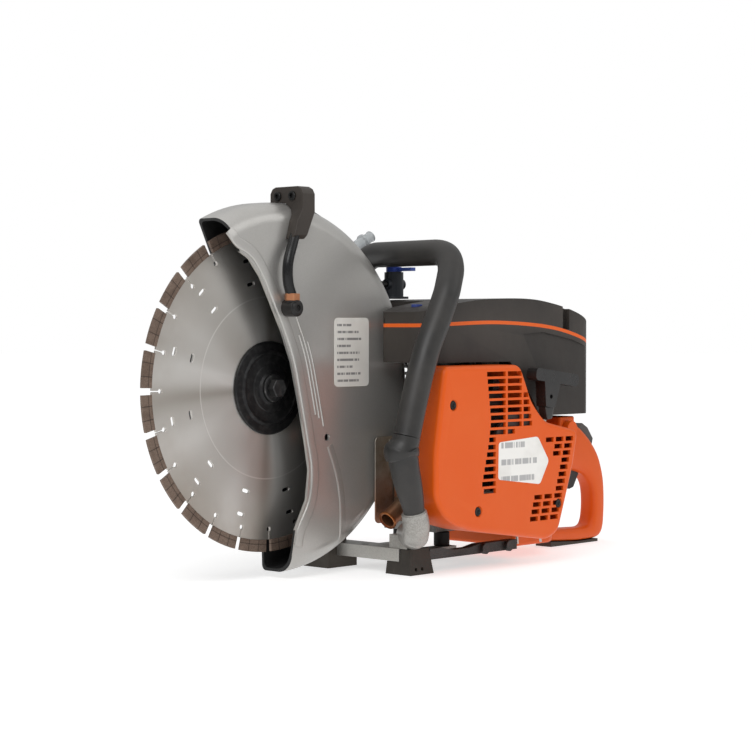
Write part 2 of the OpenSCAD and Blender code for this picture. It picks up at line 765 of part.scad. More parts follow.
blade_core();
blade_segments();
outer_flange();
inner_flange();
blade_bolt();
spindle_shaft();
spindle_bearings();
blade_pulley();
drive_belt();
cutting_arm();
belt_cover();
cover_screws();
belt_tensioner();
blade_guard();
water_block();
block_screws();
spray_hose();
spray_nozzle();
guard_line();
tap_hose();
water_tap();
tap_lever();
water_connector();
crankcase();
crankshaft();
crank_bearings();
rod_big_end();
connecting_rod();
piston();
engine_cylinder();
spark_plug();
ignition_module();
flywheel();
clutch_hub();
clutch_drum();
muffler();
exhaust_pipe();
heat_shield();
carburettor();
intake_boot();
air_filter();
filter_cover();
trim_stripe();
cylinder_cover();
decompression_button();
rear_handle_tank();
fuel_cap();
throttle_trigger();
throttle_lockout();
stop_switch();
choke_knob();
starter_housing();
rope_pulley();
starter_spring();
starter_handle();
front_handle();
front_support();
side_bracket();
vibration_mounts();
rubber_feet();
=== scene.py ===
import math

import bmesh
import bpy
from mathutils import Matrix, Vector


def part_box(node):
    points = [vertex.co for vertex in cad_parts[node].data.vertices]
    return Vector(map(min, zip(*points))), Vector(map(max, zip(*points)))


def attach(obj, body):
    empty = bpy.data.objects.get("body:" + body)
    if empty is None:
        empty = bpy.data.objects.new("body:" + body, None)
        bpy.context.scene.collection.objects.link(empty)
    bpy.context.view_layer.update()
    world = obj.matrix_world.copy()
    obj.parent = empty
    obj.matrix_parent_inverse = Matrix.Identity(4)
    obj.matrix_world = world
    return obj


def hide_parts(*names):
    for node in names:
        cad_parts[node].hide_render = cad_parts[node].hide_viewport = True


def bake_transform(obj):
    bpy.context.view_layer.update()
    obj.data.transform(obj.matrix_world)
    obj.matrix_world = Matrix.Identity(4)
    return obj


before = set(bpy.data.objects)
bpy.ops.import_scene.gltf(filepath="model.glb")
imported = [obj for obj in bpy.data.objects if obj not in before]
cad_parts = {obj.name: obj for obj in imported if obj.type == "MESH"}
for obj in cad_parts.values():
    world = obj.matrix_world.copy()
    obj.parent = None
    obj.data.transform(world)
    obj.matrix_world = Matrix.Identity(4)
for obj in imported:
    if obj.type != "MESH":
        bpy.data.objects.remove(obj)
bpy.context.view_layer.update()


# ---- blade core
# A steel disc 2.8 mm thick, laser cut and ground on both faces, with gullets between the segments and
# two rings of cooling slots. The flanges clamp it on the spindle, and all places are measured from its centre.
MM = 0.001
AXLE = sum(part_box("blade_core"), Vector()) / 2
CORE_RADIUS, STAMP_RADIUS = 162.0, 97.0
HARD_EDGE, FLAT_LIMIT = 30.0, 0.5


def spot(x, y, z):
    """A point given in millimetres from the blade's centre."""
    return AXLE + Vector((x, y, z)) * MM


def tint(red, green, blue):
    """A colour picked on a screen, 0 to 255, as the shader wants it."""
    linear = (((c / 255 + 0.055) / 1.055) ** 2.4 if c > 10 else c / 3294.6 for c in (red, green, blue))
    return tuple(linear) + (1.0,)


class Signal:
    """One output socket in a finish, which can be added, scaled and compared like a number."""

    def __init__(self, finish, socket):
        self.finish, self.socket = finish, socket

    def math(self, operation, *others):
        return self.finish.node("Math", {"operation": operation}, dict(enumerate((self,) + others)))

    def __add__(self, other):
        return self.math("ADD", other)

    def __sub__(self, other):
        return self.math("SUBTRACT", other)

    def __rsub__(self, other):
        return self.finish.node("Math", {"operation": "SUBTRACT"}, {0: other, 1: self})

    def __mul__(self, other):
        return self.math("MULTIPLY", other)

    def __gt__(self, other):
        return self.math("GREATER_THAN", other)

    def __lt__(self, other):
        return self.math("LESS_THAN", other)

    __radd__, __rmul__ = __add__, __mul__

    def between(self, low, high, soft):
        """1 where the value lies from low to high, fading over soft."""
        rise, fall = (self.finish.node("MapRange", {"interpolation_type": "SMOOTHSTEP"}, {0: self, 1: a, 2: b})
                      for a, b in ((low - soft, low), (high, high + soft)))
        return rise * (1 - fall)

    def spread(self, low, high, to_low=0.0, to_high=1.0):
        """The range low to high, stretched to another one and held at its ends."""
        return self.finish.node("MapRange", {}, {0: self, 1: low, 2: high, 3: to_low, 4: to_high})


class Finish:
    """A procedural material for one real finish."""

    def __init__(self, name):
        self.material = bpy.data.materials.new(name)
        self.material.use_nodes = True
        self.nodes, self.links = self.material.node_tree.nodes, self.material.node_tree.links
        self.nodes.clear()

    def node(self, kind, settings=None, inputs=None, output=0):
        made = self.nodes.new("ShaderNode" + kind)
        for key, value in (settings or {}).items():
            if key == "stops":
                ramp = made.color_ramp
                while len(ramp.elements) < len(value):
                    ramp.elements.new(0.5)
                for element, (place, colour) in zip(ramp.elements, value):
                    element.position, element.color = place, colour
            else:
                setattr(made, key, value)
        for key, value in (inputs or {}).items():
            if isinstance(value, Signal):
                self.links.new(value.socket, made.inputs[key])
            else:
                made.inputs[key].default_value = value
        return Signal(self, made.outputs[output]) if len(made.outputs) else None

    def place(self):
        return self.node("TexCoord", output="Object")

    def parts(self, vector):
        """The three numbers of a vector."""
        split = self.node("SeparateXYZ", {}, {0: vector})
        outputs = split.socket.node.outputs
        return [Signal(self, outputs[i]) for i in range(3)]

    def pair(self, x, y):
        """A vector made of two numbers."""
        return self.node("CombineXYZ", {}, {0: x, 1: y})

    def noise(self, scale, detail=3.0, roughness=0.5, stretch=(1, 1, 1), vector=None):
        where = self.node("Mapping", {}, {0: vector or self.place(), "Scale": stretch})
        return self.node("TexNoise", {}, {"Vector": where, "Scale": scale, "Detail": detail,
                                          "Roughness": roughness})

    def mix(self, mask, first, second):
        """Two colours by a mask. Each is a socket, or red, green and blue as tint() takes them."""
        first, second = (tint(*c) if isinstance(c, tuple) else c for c in (first, second))
        return self.node("Mix", {"data_type": "RGBA"}, {0: mask, 6: first, 7: second}, output=2)

    def shade(self, colour, roughness, height=None, depth=0.0002, strength=1.0, metallic=0.0, **uniform):
        """Closes the finish with one Principled shader. height feeds a bump that is depth metres deep."""
        inputs = {"Base Color": colour, "Roughness": roughness, "Metallic": metallic}
        inputs.update({key.replace("_", " "): value for key, value in uniform.items()})
        if height is not None:
            inputs["Normal"] = self.node("Bump", {}, {"Strength": strength, "Distance": depth, "Height": height})
        shader = self.node("BsdfPrincipled", {}, inputs)
        self.node("OutputMaterial", {}, {"Surface": shader})
        return self.material


def from_axle(finish):
    """How far back and how far up from the blade's axle, in metres."""
    x, _, z = finish.parts(finish.node("VectorMath", {"operation": "SUBTRACT"}, {0: finish.place(), 1: AXLE}))
    return x, z


def radial_place(finish):
    """Distance from the blade's axle, in metres, and the angle round it."""
    x, z = from_axle(finish)
    return (x * x + z * z).math("SQRT"), z.math("ARCTAN2", x)


def ground_steel():
    finish = Finish("ground_steel")
    radius, angle = radial_place(finish)
    rings = finish.pair(radius * 900.0, angle * 0.9)
    grooves = finish.noise(3.0, 6.0, 0.7, vector=rings)
    # Painted highlight: pale and darker fan-shaped sectors round the axle stand in for the bright radial highlights
    # on the ground faces.
    highlight_fan = finish.pair(radius * 4.0, (angle * 2.0).math("SINE") * 1.4)
    painted_highlight = finish.noise(1.0, 1.0, 0.4, vector=highlight_fan)
    stain = finish.noise(9.0, 4.0, 0.6)
    highlit_steel = finish.mix(painted_highlight.spread(0.35, 0.65), (164, 159, 152), (214, 212, 208))
    rim = radius.spread(0.11, CORE_RADIUS * MM)
    warm = finish.mix(rim * stain.spread(0.35, 0.7) * 0.6, highlit_steel, (150, 138, 126))
    stamped = radius.between((STAMP_RADIUS - 0.5) * MM, (STAMP_RADIUS + 0.5) * MM, 0.4 * MM)
    colour = finish.mix(stamped * 0.5, warm, (226, 224, 220))
    gloss = grooves.spread(0.2, 0.8, 0.26, 0.44) + stain * 0.06
    return finish.shade(colour, gloss, grooves - stamped * 0.8, 0.00008, 0.5, metallic=0.92)


def as_mesh(net, name):
    """The bmesh as mesh data, after which the bmesh is gone."""
    mesh = bpy.data.meshes.new(name)
    net.to_mesh(mesh)
    net.free()
    return mesh


def placed(name, data):
    """A new object in the scene, at the origin."""
    made = bpy.data.objects.new(name, data)
    bpy.context.scene.collection.objects.link(made)
    return made


def rounded_copy(node, name, width, steps):
    """A CAD node's mesh with its triangles joined into faces and every hard edge rounded, width in mm."""
    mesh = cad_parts[node].data.copy()
    mesh.name = name
    net = bmesh.new()
    net.from_mesh(mesh)
    bmesh.ops.remove_doubles(net, verts=net.verts, dist=2e-6)
    bmesh.ops.dissolve_degenerate(net, edges=net.edges, dist=1e-6)
    bmesh.ops.dissolve_limit(net, angle_limit=math.radians(FLAT_LIMIT), verts=net.verts, edges=net.edges)
    return bevelled(net, name, width, steps)


def bevelled(net, name, width, steps=2, sharp=HARD_EDGE):
    """The mesh as an object at the origin with its hard edges rounded and its faces smooth."""
    made = placed(name, as_mesh(net, name))
    if width:
        bevel = made.modifiers.new("rounding", "BEVEL")
        bevel.width, bevel.segments, bevel.limit_method = width * MM, steps, "ANGLE"
        bevel.angle_limit, bevel.miter_outer, bevel.harden_normals = math.radians(sharp), "MITER_ARC", False
        made = plain(made)
    return shaded(made, sharp + 8)


def shaded(made, sharp):
    """The object with smooth faces, except over edges sharper than that, and with its flat faces kept flat."""
    made.data.shade_smooth()
    made.data.set_sharp_from_angle(angle=math.radians(sharp))
    weighted = made.modifiers.new("flat", "WEIGHTED_NORMAL")
    weighted.keep_sharp, weighted.weight = True, 60
    return plain(made)


def plain(made):
    """The object with its modifiers worked into its mesh."""
    bpy.context.view_layer.update()
    evaluated = made.evaluated_get(bpy.context.evaluated_depsgraph_get())
    mesh = bpy.data.meshes.new_from_object(evaluated)
    made.modifiers.clear()
    made.data = mesh
    return made


def settle(made, body, materials, nodes=()):
    """Gives a piece its materials, its CAD body, if it rides on one, and the nodes that it stands for."""
    if not isinstance(materials, (list, tuple)):
        materials = [materials]
    made.data.materials.clear()
    for material in materials:
        made.data.materials.append(material)
    if body:
        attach(made, body)
    if nodes:
        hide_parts(*nodes)
    return made


def recast(node, name, width, steps, body, materials):
    """A rounded copy that takes the CAD node's place."""
    return settle(rounded_copy(node, name, width, steps), body, materials, [node])


recast("blade_core", "ground_core", 0.25, 1, "blade", ground_steel())


# ---- diamond segments
# Twenty-four sintered blocks of diamond grit in soft metal, brazed on the core's rim and dressed to one radius.
# Their faces are matt and brown-grey, with two fine grooves left by the press.
SEGMENT_COUNT = 24
SEGMENT_PITCH = 360 / SEGMENT_COUNT
SEGMENT_GAP = 2.4
SEGMENT_OUTER, SEGMENT_HALF = 175.0, 1.7


def sintered_metal():
    finish = Finish("sintered_metal")
    radius, angle = radial_place(finish)
    grit = finish.noise(1400.0, 3.0, 0.7)
    burn = finish.noise(60.0, 3.0, 0.6)
    colour = finish.mix(grit.spread(0.35, 0.65), (96, 80, 70), (136, 118, 105))
    colour = finish.mix(burn.spread(0.45, 0.7) * 0.6, colour, (84, 68, 58))
    turn = (angle * (180 / math.pi / SEGMENT_PITCH) + SEGMENT_COUNT).math("FRACT")
    press = turn.between(0.335, 0.35, 0.01) + turn.between(0.65, 0.665, 0.01)
    press = press + radius.between(0.1665, 0.1671, 0.0003)
    colour = finish.mix(press * 0.7, colour, (58, 48, 42))
    return finish.shade(colour, grit.spread(0.3, 0.7, 0.42, 0.62), grit - press, 0.0003, 0.6, metallic=0.55)


def ring_of_copies(tree_name, material):
    """A Geometry Nodes tree that repeats its mesh round the Y axis and moves the ring to a centre."""
    tree = bpy.data.node_groups.new(tree_name, "GeometryNodeTree")
    kinds = {"Geometry": "NodeSocketGeometry", "Count": "NodeSocketInt", "Centre": "NodeSocketVector"}
    for title, kind in kinds.items():
        tree.interface.new_socket(title, in_out="INPUT", socket_type=kind)
    tree.interface.new_socket("Geometry", in_out="OUTPUT", socket_type="NodeSocketGeometry")
    given, result, points, index, share, turn, spin, copies, move, real, paint = (tree.nodes.new(kind) for kind in (
        "NodeGroupInput", "NodeGroupOutput", "GeometryNodePoints", "GeometryNodeInputIndex", "ShaderNodeMath",
        "ShaderNodeMath", "ShaderNodeCombineXYZ", "GeometryNodeInstanceOnPoints", "GeometryNodeTranslateInstances",
        "GeometryNodeRealizeInstances", "GeometryNodeSetMaterial"))
    share.operation, turn.operation = "DIVIDE", "MULTIPLY"
    share.inputs[0].default_value = 2 * math.pi
    move.inputs["Local Space"].default_value = False
    paint.inputs["Material"].default_value = material
    for source, out, target, into in (
            (given, "Count", points, "Count"), (given, "Count", share, 1), (index, 0, turn, 0), (share, 0, turn, 1),
            (turn, 0, spin, "Y"), (points, 0, copies, "Points"), (given, "Geometry", copies, "Instance"),
            (spin, 0, copies, "Rotation"), (copies, 0, move, "Instances"), (given, "Centre", move, "Translation"),
            (move, 0, real, 0), (real, 0, paint, 0), (paint, 0, result, 0)):
        tree.links.new(source.outputs[out], target.inputs[into])
    return tree


def repeated(net, name, width, tree, count, centre):
    """The mesh, drawn round the origin, repeated round the Y axis by the tree and made one plain object."""
    made = bevelled(net, name, width)
    ring = made.modifiers.new("ring", "NODES")
    ring.node_group = tree
    sockets = {item.name: item.identifier for item in tree.interface.items_tree if item.in_out == "INPUT"}
    ring[sockets["Count"]] = count
    ring[sockets["Centre"]] = centre[:]
    return plain(made)


def skinned(net, rings, closed=False):
    """Walls from each ring of vertices to the next, capped unless the rings close on themselves."""
    count = len(rings[0])
    for a, b in zip(rings, rings[1:] + (rings[:1] if closed else [])):
        for i in range(count):
            net.faces.new((a[i], a[(i + 1) % count], b[(i + 1) % count], b[i]))
    if not closed:
        net.faces.new(rings[0])
        net.faces.new(rings[-1])
    bmesh.ops.recalc_face_normals(net, faces=net.faces)
    return net


def segment_block(steps=8):
    """One segment, cut as an arc between two radii about the Y axis."""
    net, rings = bmesh.new(), []
    for i in range(steps + 1):
        a = math.radians(SEGMENT_GAP / 2 + (SEGMENT_PITCH - SEGMENT_GAP) * i / steps)
        rings.append([net.verts.new(Vector((r * math.sin(a), y * SEGMENT_HALF, r * math.cos(a))) * MM) for r, y in
                      ((CORE_RADIUS, -1), (SEGMENT_OUTER, -1), (SEGMENT_OUTER, 1), (CORE_RADIUS, 1))])
    return skinned(net, rings)


sintered = sintered_metal()
segment_ring = ring_of_copies("segment_ring", sintered)
segments = repeated(segment_block(), "sintered_segments", 0.3, segment_ring, SEGMENT_COUNT, AXLE)
settle(segments, "blade", sintered, ["blade_segments"])


# ---- flanges and blade bolt
# Two turned steel flanges squeeze the core, and a hex bolt with a thick washer holds them on the spindle.
# All are black oxide with fine turning marks, worn a little brighter on their rims.


def piece(net, name, width, steps, body, materials, nodes=(), sharp=HARD_EDGE):
    """A mesh that was drawn here as a finished piece, with its edges rounded by width in mm."""
    return settle(bevelled(net, name, width, steps, sharp), body, materials, nodes)


def turned_black(name="turned_black", base=(24, 24, 25), worn=(74, 73, 72)):
    finish = Finish(name)
    radius, angle = radial_place(finish)
    rings = finish.noise(4.0, 4.0, 0.6, vector=finish.pair(radius * 700.0, angle * 0.4))
    rub = finish.noise(140.0, 4.0, 0.6)
    edge = finish.node("NewGeometry", output="Pointiness").spread(0.52, 0.6)
    colour = finish.mix(rub.spread(0.45, 0.75) * 0.4, base, worn)
    colour = finish.mix(edge * 0.5, colour, worn)
    return finish.shade(colour, rings.spread(0.3, 0.7, 0.3, 0.46), rings, 0.0001, 0.5, metallic=0.6)


def circle(count):
    """The cosine and sine at even steps round a circle."""
    return [(math.cos(a), math.sin(a)) for a in (2 * math.pi * i / count for i in range(count))]


def lathe(profile, centre, axis=(0, 1, 0), sides=96):
    """A closed solid turned about an axis: profile is (radius, distance along the axis) in mm."""
    net = bmesh.new()
    along = Vector(axis).normalized()
    side = along.orthogonal().normalized()
    other = along.cross(side)
    rings = []
    for radius, height in profile:
        if radius < 1e-6:
            rings.append([net.verts.new(centre + along * height * MM)])
        else:
            rings.append([net.verts.new(centre + (along * height + (side * c + other * s) * radius) * MM)
                          for c, s in circle(sides)])
    closed = profile[0][0] > 1e-6
    for a, b in zip(rings, rings[1:] + (rings[:1] if closed else [])):
        for i in range(sides):
            j = (i + 1) % sides
            corners = [a[i % len(a)], a[j % len(a)], b[j % len(b)], b[i % len(b)]]
            net.faces.new(list(dict.fromkeys(corners)))
    bmesh.ops.recalc_face_normals(net, faces=net.faces)
    return net


def merged(*nets):
    """Several meshes as one."""
    whole = bmesh.new()
    for net in nets:
        mesh = as_mesh(net, "part")
        whole.from_mesh(mesh)
        bpy.data.meshes.remove(mesh)
    return whole


black_oxide = turned_black()
OUTER_FLANGE = [(5.2, -9), (16, -9), (18.2, -6.8), (25, -6.4), (26, -5.6), (36, -5.6), (37, -6.4), (39, -6.4),
                (41, -4.6), (48.6, -4.5), (50, -3.4), (50, -1.42), (13, -1.42), (13, -4), (5.2, -4)]
piece(lathe(OUTER_FLANGE, AXLE), "clamping_flange", 0.35, 2, "blade", black_oxide,
      ["outer_flange"])
recast("inner_flange", "backing_flange", 0.4, 2, "blade", black_oxide)


def hex_bar(across, low, high, centre, inset=1.2):
    """A six-sided head about the Y axis with a chamfered outer end at low."""
    net = bmesh.new()
    return skinned(net, [[net.verts.new(centre + Vector((radius * c, height, radius * s)) * MM) for c, s in circle(6)]
                         for radius, height in ((across - inset, low), (across, low + inset * 0.6), (across, high))])


WASHER = [(5.1, -12), (13.6, -12), (15, -11), (15, -9.02), (5.1, -9.02)]
SHANK = [(0, -9), (5, -9), (5, 23), (0, 24)]
bolt = merged(hex_bar(10.5, -20, -12, AXLE), lathe(WASHER, AXLE), lathe(SHANK, AXLE))
piece(bolt, "blade_bolt_head", 0.35, 2, "blade",
      turned_black("bolt_black", (30, 30, 31), (96, 95, 93)), ["blade_bolt"])


# ---- blade guard
# A die-cast magnesium shell over the rear half of the blade, painted silver grey outside; its inner faces are
# coloured near black as painted shade for the dark inside of the guard.
# A flat band stiffens its swept front edge, with raised lines behind it, and it tilts on the arm's hub.
GUARD_RADIUS, GUARD_HALF, GUARD_FAR, SHOULDER, GUARD_WALL = 197.0, 31.0, 16.0, 22.0, 2.0
FRONT_EDGE = [(-97, 172), (-78, 148), (-55, 136), (-39, 117), (-25, 92), (-8, 60), (6, 27), (16, -12), (26, -56),
              (32, -88), (28, -120), (11, -151), (6, -177)]


def silver_paint():
    finish = Finish("silver_paint")
    flake = finish.node("TexVoronoi", {"feature": "F1"}, {"Vector": finish.place(), "Scale": 2600.0}, output="Color")
    sparkle = finish.parts(flake)[0]
    drift = finish.noise(14.0, 3.0, 0.5)
    peel = finish.noise(420.0, 2.0, 0.5)
    colour = finish.mix(sparkle * 0.35, (176, 174, 170), (206, 205, 202))
    colour = finish.mix(drift.spread(0.4, 0.75) * 0.35, colour, (160, 156, 150))
    return finish.shade(colour, drift.spread(0.3, 0.7, 0.27, 0.36), peel, 0.00006, 0.35, metallic=0.62,
                        Coat_Weight=0.25, Coat_Roughness=0.18)


def inside_shade_finish():
    # Painted shade: a near-black colour on the guard's inner faces stands in for the shade inside the guard. The
    # paler patches are dust.
    finish = Finish("painted_inside_shade")
    grain = finish.noise(700.0, 4.0, 0.6)
    dust = finish.noise(26.0, 4.0, 0.6)
    colour = finish.mix(dust.spread(0.5, 0.8) * 0.3, (17, 17, 17), (46, 44, 42))
    return finish.shade(colour, grain.spread(0.3, 0.7, 0.55, 0.8), grain, 0.0003, 0.5)


def guard_surface(x, z, lift=0.0):
    """The point on the near wall over x, z, raised by lift: flat, then round the shoulder to the rim."""
    r = math.hypot(x, z)
    bend = min(max(r - (GUARD_RADIUS - SHOULDER), 0) / SHOULDER, 0.999)
    tilt = math.asin(bend)
    y = -(GUARD_HALF - SHOULDER) - SHOULDER * math.cos(tilt)
    outward = Vector((math.sin(tilt) * x / r, -math.cos(tilt), math.sin(tilt) * z / r))
    return spot(x, y, z) + outward * lift * MM


def smooth_line(points, spacing, steps=16):
    """Points at even spacing along a smooth curve through the given ones, of any dimension."""
    fine = []
    padded = [points[0]] + list(points) + [points[-1]]
    for a, b, c, d in zip(padded, padded[1:], padded[2:], padded[3:]):
        for i in range(steps):
            t = i / steps
            fine.append(tuple(
                q + (t * (r - p) + t * t * (2 * p - 5 * q + 4 * r - s) + t ** 3 * (3 * q - p - 3 * r + s)) / 2
                for p, q, r, s in zip(a, b, c, d)))
    fine.append(tuple(points[-1]))
    out, carried = [fine[0]], 0.0
    total = sum(math.dist(a, b) for a, b in zip(fine, fine[1:]))
    step = total / max(2, round(total / spacing))
    for a, b in zip(fine, fine[1:]):
        length = math.dist(a, b)
        while length > 1e-9 and carried + length >= step - 1e-9:
            share = (step - carried) / length
            a = tuple(p + (q - p) * share for p, q in zip(a, b))
            out.append(a)
            length, carried = math.dist(a, b), 0.0
        carried += length
    if math.dist(out[-1], fine[-1]) > step * 0.2:
        out.append(fine[-1])
    return out


def offset_line(line, away):
    """The plane curve moved sideways, to its left when away is positive."""
    out = []
    for i, (x, z) in enumerate(line):
        a, b = line[max(i - 1, 0)], line[min(i + 1, len(line) - 1)]
        dx, dz = b[0] - a[0], b[1] - a[1]
        size = math.hypot(dx, dz)
        out.append((x - dz / size * away, z + dx / size * away))
    return out


def ridge(line, profile, surface):
    """A raised strip that follows a plane curve on a surface: profile is (distance sideways, height)."""
    net = bmesh.new()
    rows = [[net.verts.new(surface(x, z, height)) for x, z in offset_line(line, away)] for away, height in profile]
    return skinned(net, [list(ring) for ring in zip(*rows)])


def clipped(line, low, high):
    return [p for p in line if low <= p[1] <= high]


silver, painted_inside_shade = silver_paint(), inside_shade_finish()
shell = recast("blade_guard", "guard_shell", 0.9, 3, "guard", [silver, painted_inside_shade])
# Faces inside the shell get the near-black painted shade, the outer ones the silver paint.
for face in shell.data.polygons:
    where = (face.center - AXLE) / MM
    radius, bend = math.hypot(where.x, where.z), SHOULDER - GUARD_HALF
    within = GUARD_WALL - GUARD_HALF < where.y < GUARD_FAR - GUARD_WALL and radius < GUARD_RADIUS - GUARD_WALL
    if where.y < bend and radius > GUARD_RADIUS - SHOULDER:
        within = math.hypot(radius - GUARD_RADIUS + SHOULDER, where.y - bend) < SHOULDER - GUARD_WALL
    face.material_index = 1 if within else 0

edge = smooth_line(FRONT_EDGE, 5)
band = [(2.2, -0.6), (2.6, 1.0), (4, 1.5), (11.5, 1.5), (13.5, 1.0), (14.6, -0.6)]
line_profile = [(-1.4, -0.5), (-0.8, 0.7), (0, 1.0), (0.8, 0.7), (1.4, -0.5)]
raised = [ridge(clipped(edge, -172, 160), band, guard_surface)]
for away, low, high in ((21, -30, 60), (25.5, -36, 84), (30, -44, 52)):
    raised.append(ridge(clipped(offset_line(edge, away), low, high), line_profile, guard_surface))
crease = smooth_line([(61, -64), (74, -96), (80, -128), (80, -168)], 6)
raised.append(ridge(crease, [(-3.4, -0.4), (-1.2, 0.45), (0, 0.7), (5, 0.45), (9, -0.4)], guard_surface))
piece(merged(*raised), "guard_raised_lines", 0.25, 2, "guard", silver, sharp=20)


# ---- guard plate
# A thin printed plate with the wheel's data stands on the guard's near wall behind the raised lines.
# It is pale with generic grey rows, has rounded corners, and rides with the guard.
PLATE_LEFT, PLATE_RIGHT, PLATE_LOW, PLATE_HIGH = 70.0, 124.0, 0.0, 75.0
CORNER_SHARE = 0.45


def rounded_corners(points, radius, steps=5):
    """The outline of 2-D points with each corner swept round. A point's third number is a radius of its own."""
    out, own = [], [p[2] if len(p) > 2 else radius for p in points]
    points = [p[:2] for p in points]
    for i, here in enumerate(points):
        radius = own[i]
        here, before, after = Vector(here), Vector(points[i - 1]), Vector(points[(i + 1) % len(points)])
        start = here + (before - here).normalized() * min(radius, (before - here).length * CORNER_SHARE)
        stop = here + (after - here).normalized() * min(radius, (after - here).length * CORNER_SHARE)
        for k in range(steps + 1):
            t = k / steps
            out.append(tuple(start * (1 - t) ** 2 + here * 2 * t * (1 - t) + stop * t * t))
    return out


def prism(outline, low, high, axis="Y"):
    """A closed solid: an outline in x, z pushed along Y, or in x, y pushed along Z, from low to high."""
    net = bmesh.new()
    place = (lambda a, b, h: spot(a, h, b)) if axis == "Y" else (lambda a, b, h: spot(a, b, h))
    bottom, top = ([net.verts.new(place(a, b, h)) for a, b in outline] for h in (low, high))
    net.faces.new(bottom)
    net.faces.new(top)
    for i in range(len(outline)):
        j = (i + 1) % len(outline)
        net.faces.new((bottom[i], bottom[j], top[j], top[i]))
    bmesh.ops.recalc_face_normals(net, faces=net.faces)
    return net


def rectangle(left, low, right, high):
    return [(left, low), (right, low), (right, high), (left, high)]


def printed_plate(name, rows, low, high, left, right, paper=(216, 214, 208), ink=(92, 92, 94)):
    """Pale printed plastic with generic rows of grey marks between the given heights, in mm from the axle."""
    finish = Finish(name)
    x, z = from_axle(finish)
    across = x.spread(left * MM, right * MM)
    band = z.spread(low * MM, high * MM, 0.0, float(rows))
    row = band.math("FLOOR")
    inside = band.math("FRACT").between(0.34, 0.62, 0.06) * across.between(0.08, 0.9, 0.01)
    words = finish.pair(across * 26.0, row * 7.3)
    broken = finish.node("TexNoise", {}, {"Vector": words, "Scale": 1.0, "Detail": 2.0})
    length = finish.node("TexNoise", {}, {"Vector": finish.pair(row * 3.7, 2.0), "Scale": 1.0})
    marks = inside * broken.spread(0.4, 0.46) * (across < length.spread(0.35, 0.65, 0.45, 0.95))
    stain = finish.noise(30.0, 3.0, 0.6)
    colour = finish.mix(stain.spread(0.45, 0.75) * 0.3, paper, (178, 174, 166))
    colour = finish.mix(marks * 0.8, colour, ink)
    return finish.shade(colour, stain.spread(0.3, 0.7, 0.36, 0.5), stain - marks * 0.3, 0.00003, 0.3)


corners = rounded_corners(rectangle(PLATE_LEFT, PLATE_LOW, PLATE_RIGHT, PLATE_HIGH), 6)
plate = prism(corners, -GUARD_HALF - 0.5, -GUARD_HALF + 0.3)
piece(plate, "guard_plate", 0.2, 2, "guard",
      printed_plate("guard_print", 9, PLATE_LOW + 3, PLATE_HIGH - 4, PLATE_LEFT, PLATE_RIGHT))


# ---- water block and its screws
# A moulded housing clamped over the guard's top carries the water down to the near side of the blade.
# It is warm dark grey with a fine grain, and two black socket screws hold it.
SCREW_Y, SCREW_Z = (-6.0, -28.0), 204.0


def moulded(name, base, worn, gloss=(0.42, 0.56), depth=0.00012, grain=900.0, dust=0.25, **uniform):
    """Injection-moulded plastic or rubber with a fine grain, some dust and paler worn edges."""
    uniform.setdefault("Specular_IOR_Level", 0.3)
    finish = Finish(name)
    pores = finish.noise(grain, 3.0, 0.55)
    drift = finish.noise(12.0, 4.0, 0.6)
    scuffs = finish.noise(70.0, 5.0, 0.7, (1, 1, 0.3))
    edge = finish.node("NewGeometry", output="Pointiness").spread(0.52, 0.62)
    colour = finish.mix(drift.spread(0.42, 0.75) * dust, base, worn)
    colour = finish.mix(scuffs.spread(0.6, 0.8) * dust, colour, worn)
    colour = finish.mix(edge * 0.35, colour, worn)
    return finish.shade(colour, scuffs.spread(0.3, 0.7, *gloss), pores + scuffs * 0.4, depth, 0.5, **uniform)


block_plastic = moulded("block_plastic", (48, 43, 39), (86, 78, 72), (0.36, 0.5))
recast("water_block", "water_manifold", 1.6, 3, "guard", block_plastic)
SOCKET_HEAD = [(0, 10.4), (2.3, 10.4), (2.5, 8.3), (2.9, 8), (4.3, 8), (5, 8.7), (5, 10), (2.9, 10), (2.8, 17.6),
               (0, 18)]
heads = merged(*(lathe(SOCKET_HEAD, spot(0, y, SCREW_Z), (1, 0, 0), 36) for y in SCREW_Y))
screw_black = turned_black("screw_black", (18, 18, 19), (62, 61, 60))
piece(heads, "manifold_screws", 0.15, 2, "guard", screw_black, ["block_screws"])


# ---- spray hose and nozzle
# A short shiny rubber hose drops from the block to the nozzle, which squirts water on the blade's near face.
# The nozzle is a copper-coloured nut on a dark round body with a slotted plug.
def even(radius, *points):
    """A route of one radius, in mm, through the points."""
    return [point + (radius,) for point in points]


def soft_path(points, longest=22.0, rounds=3):
    """The route with its corners rounded. Long legs are divided first, so that only their ends bend."""
    line = [tuple(points[0])]
    for a, b in zip(points, points[1:]):
        count = max(1, math.ceil(math.dist(a[:3], b[:3]) / longest))
        line += [tuple(p + (q - p) * i / count for p, q in zip(a, b)) for i in range(1, count + 1)]
    for _ in range(rounds):
        cut = [line[0]]
        for a, b in zip(line, line[1:]):
            cut += [tuple(p + (q - p) * share for p, q in zip(a, b)) for share in (0.25, 0.75)]
        line = cut + [line[-1]]
    return line


def pipe(route, sides=28):
    """A closed round solid along a route of (x, y, z, radius) in mm."""
    net = bmesh.new()
    centres = [spot(*p[:3]) for p in route]
    last = len(centres) - 1
    side, ahead, rings = None, None, []
    for i, centre in enumerate(centres):
        heading = (centres[min(i + 1, last)] - centres[max(i - 1, 0)]).normalized()
        side = heading.orthogonal().normalized() if side is None else ahead.rotation_difference(heading) @ side
        side, ahead = (side - heading * side.dot(heading)).normalized(), heading
        up = ahead.cross(side)
        rings.append([net.verts.new(centre + (side * c + up * s) * route[i][3] * MM) for c, s in circle(sides)])
    return skinned(net, rings)


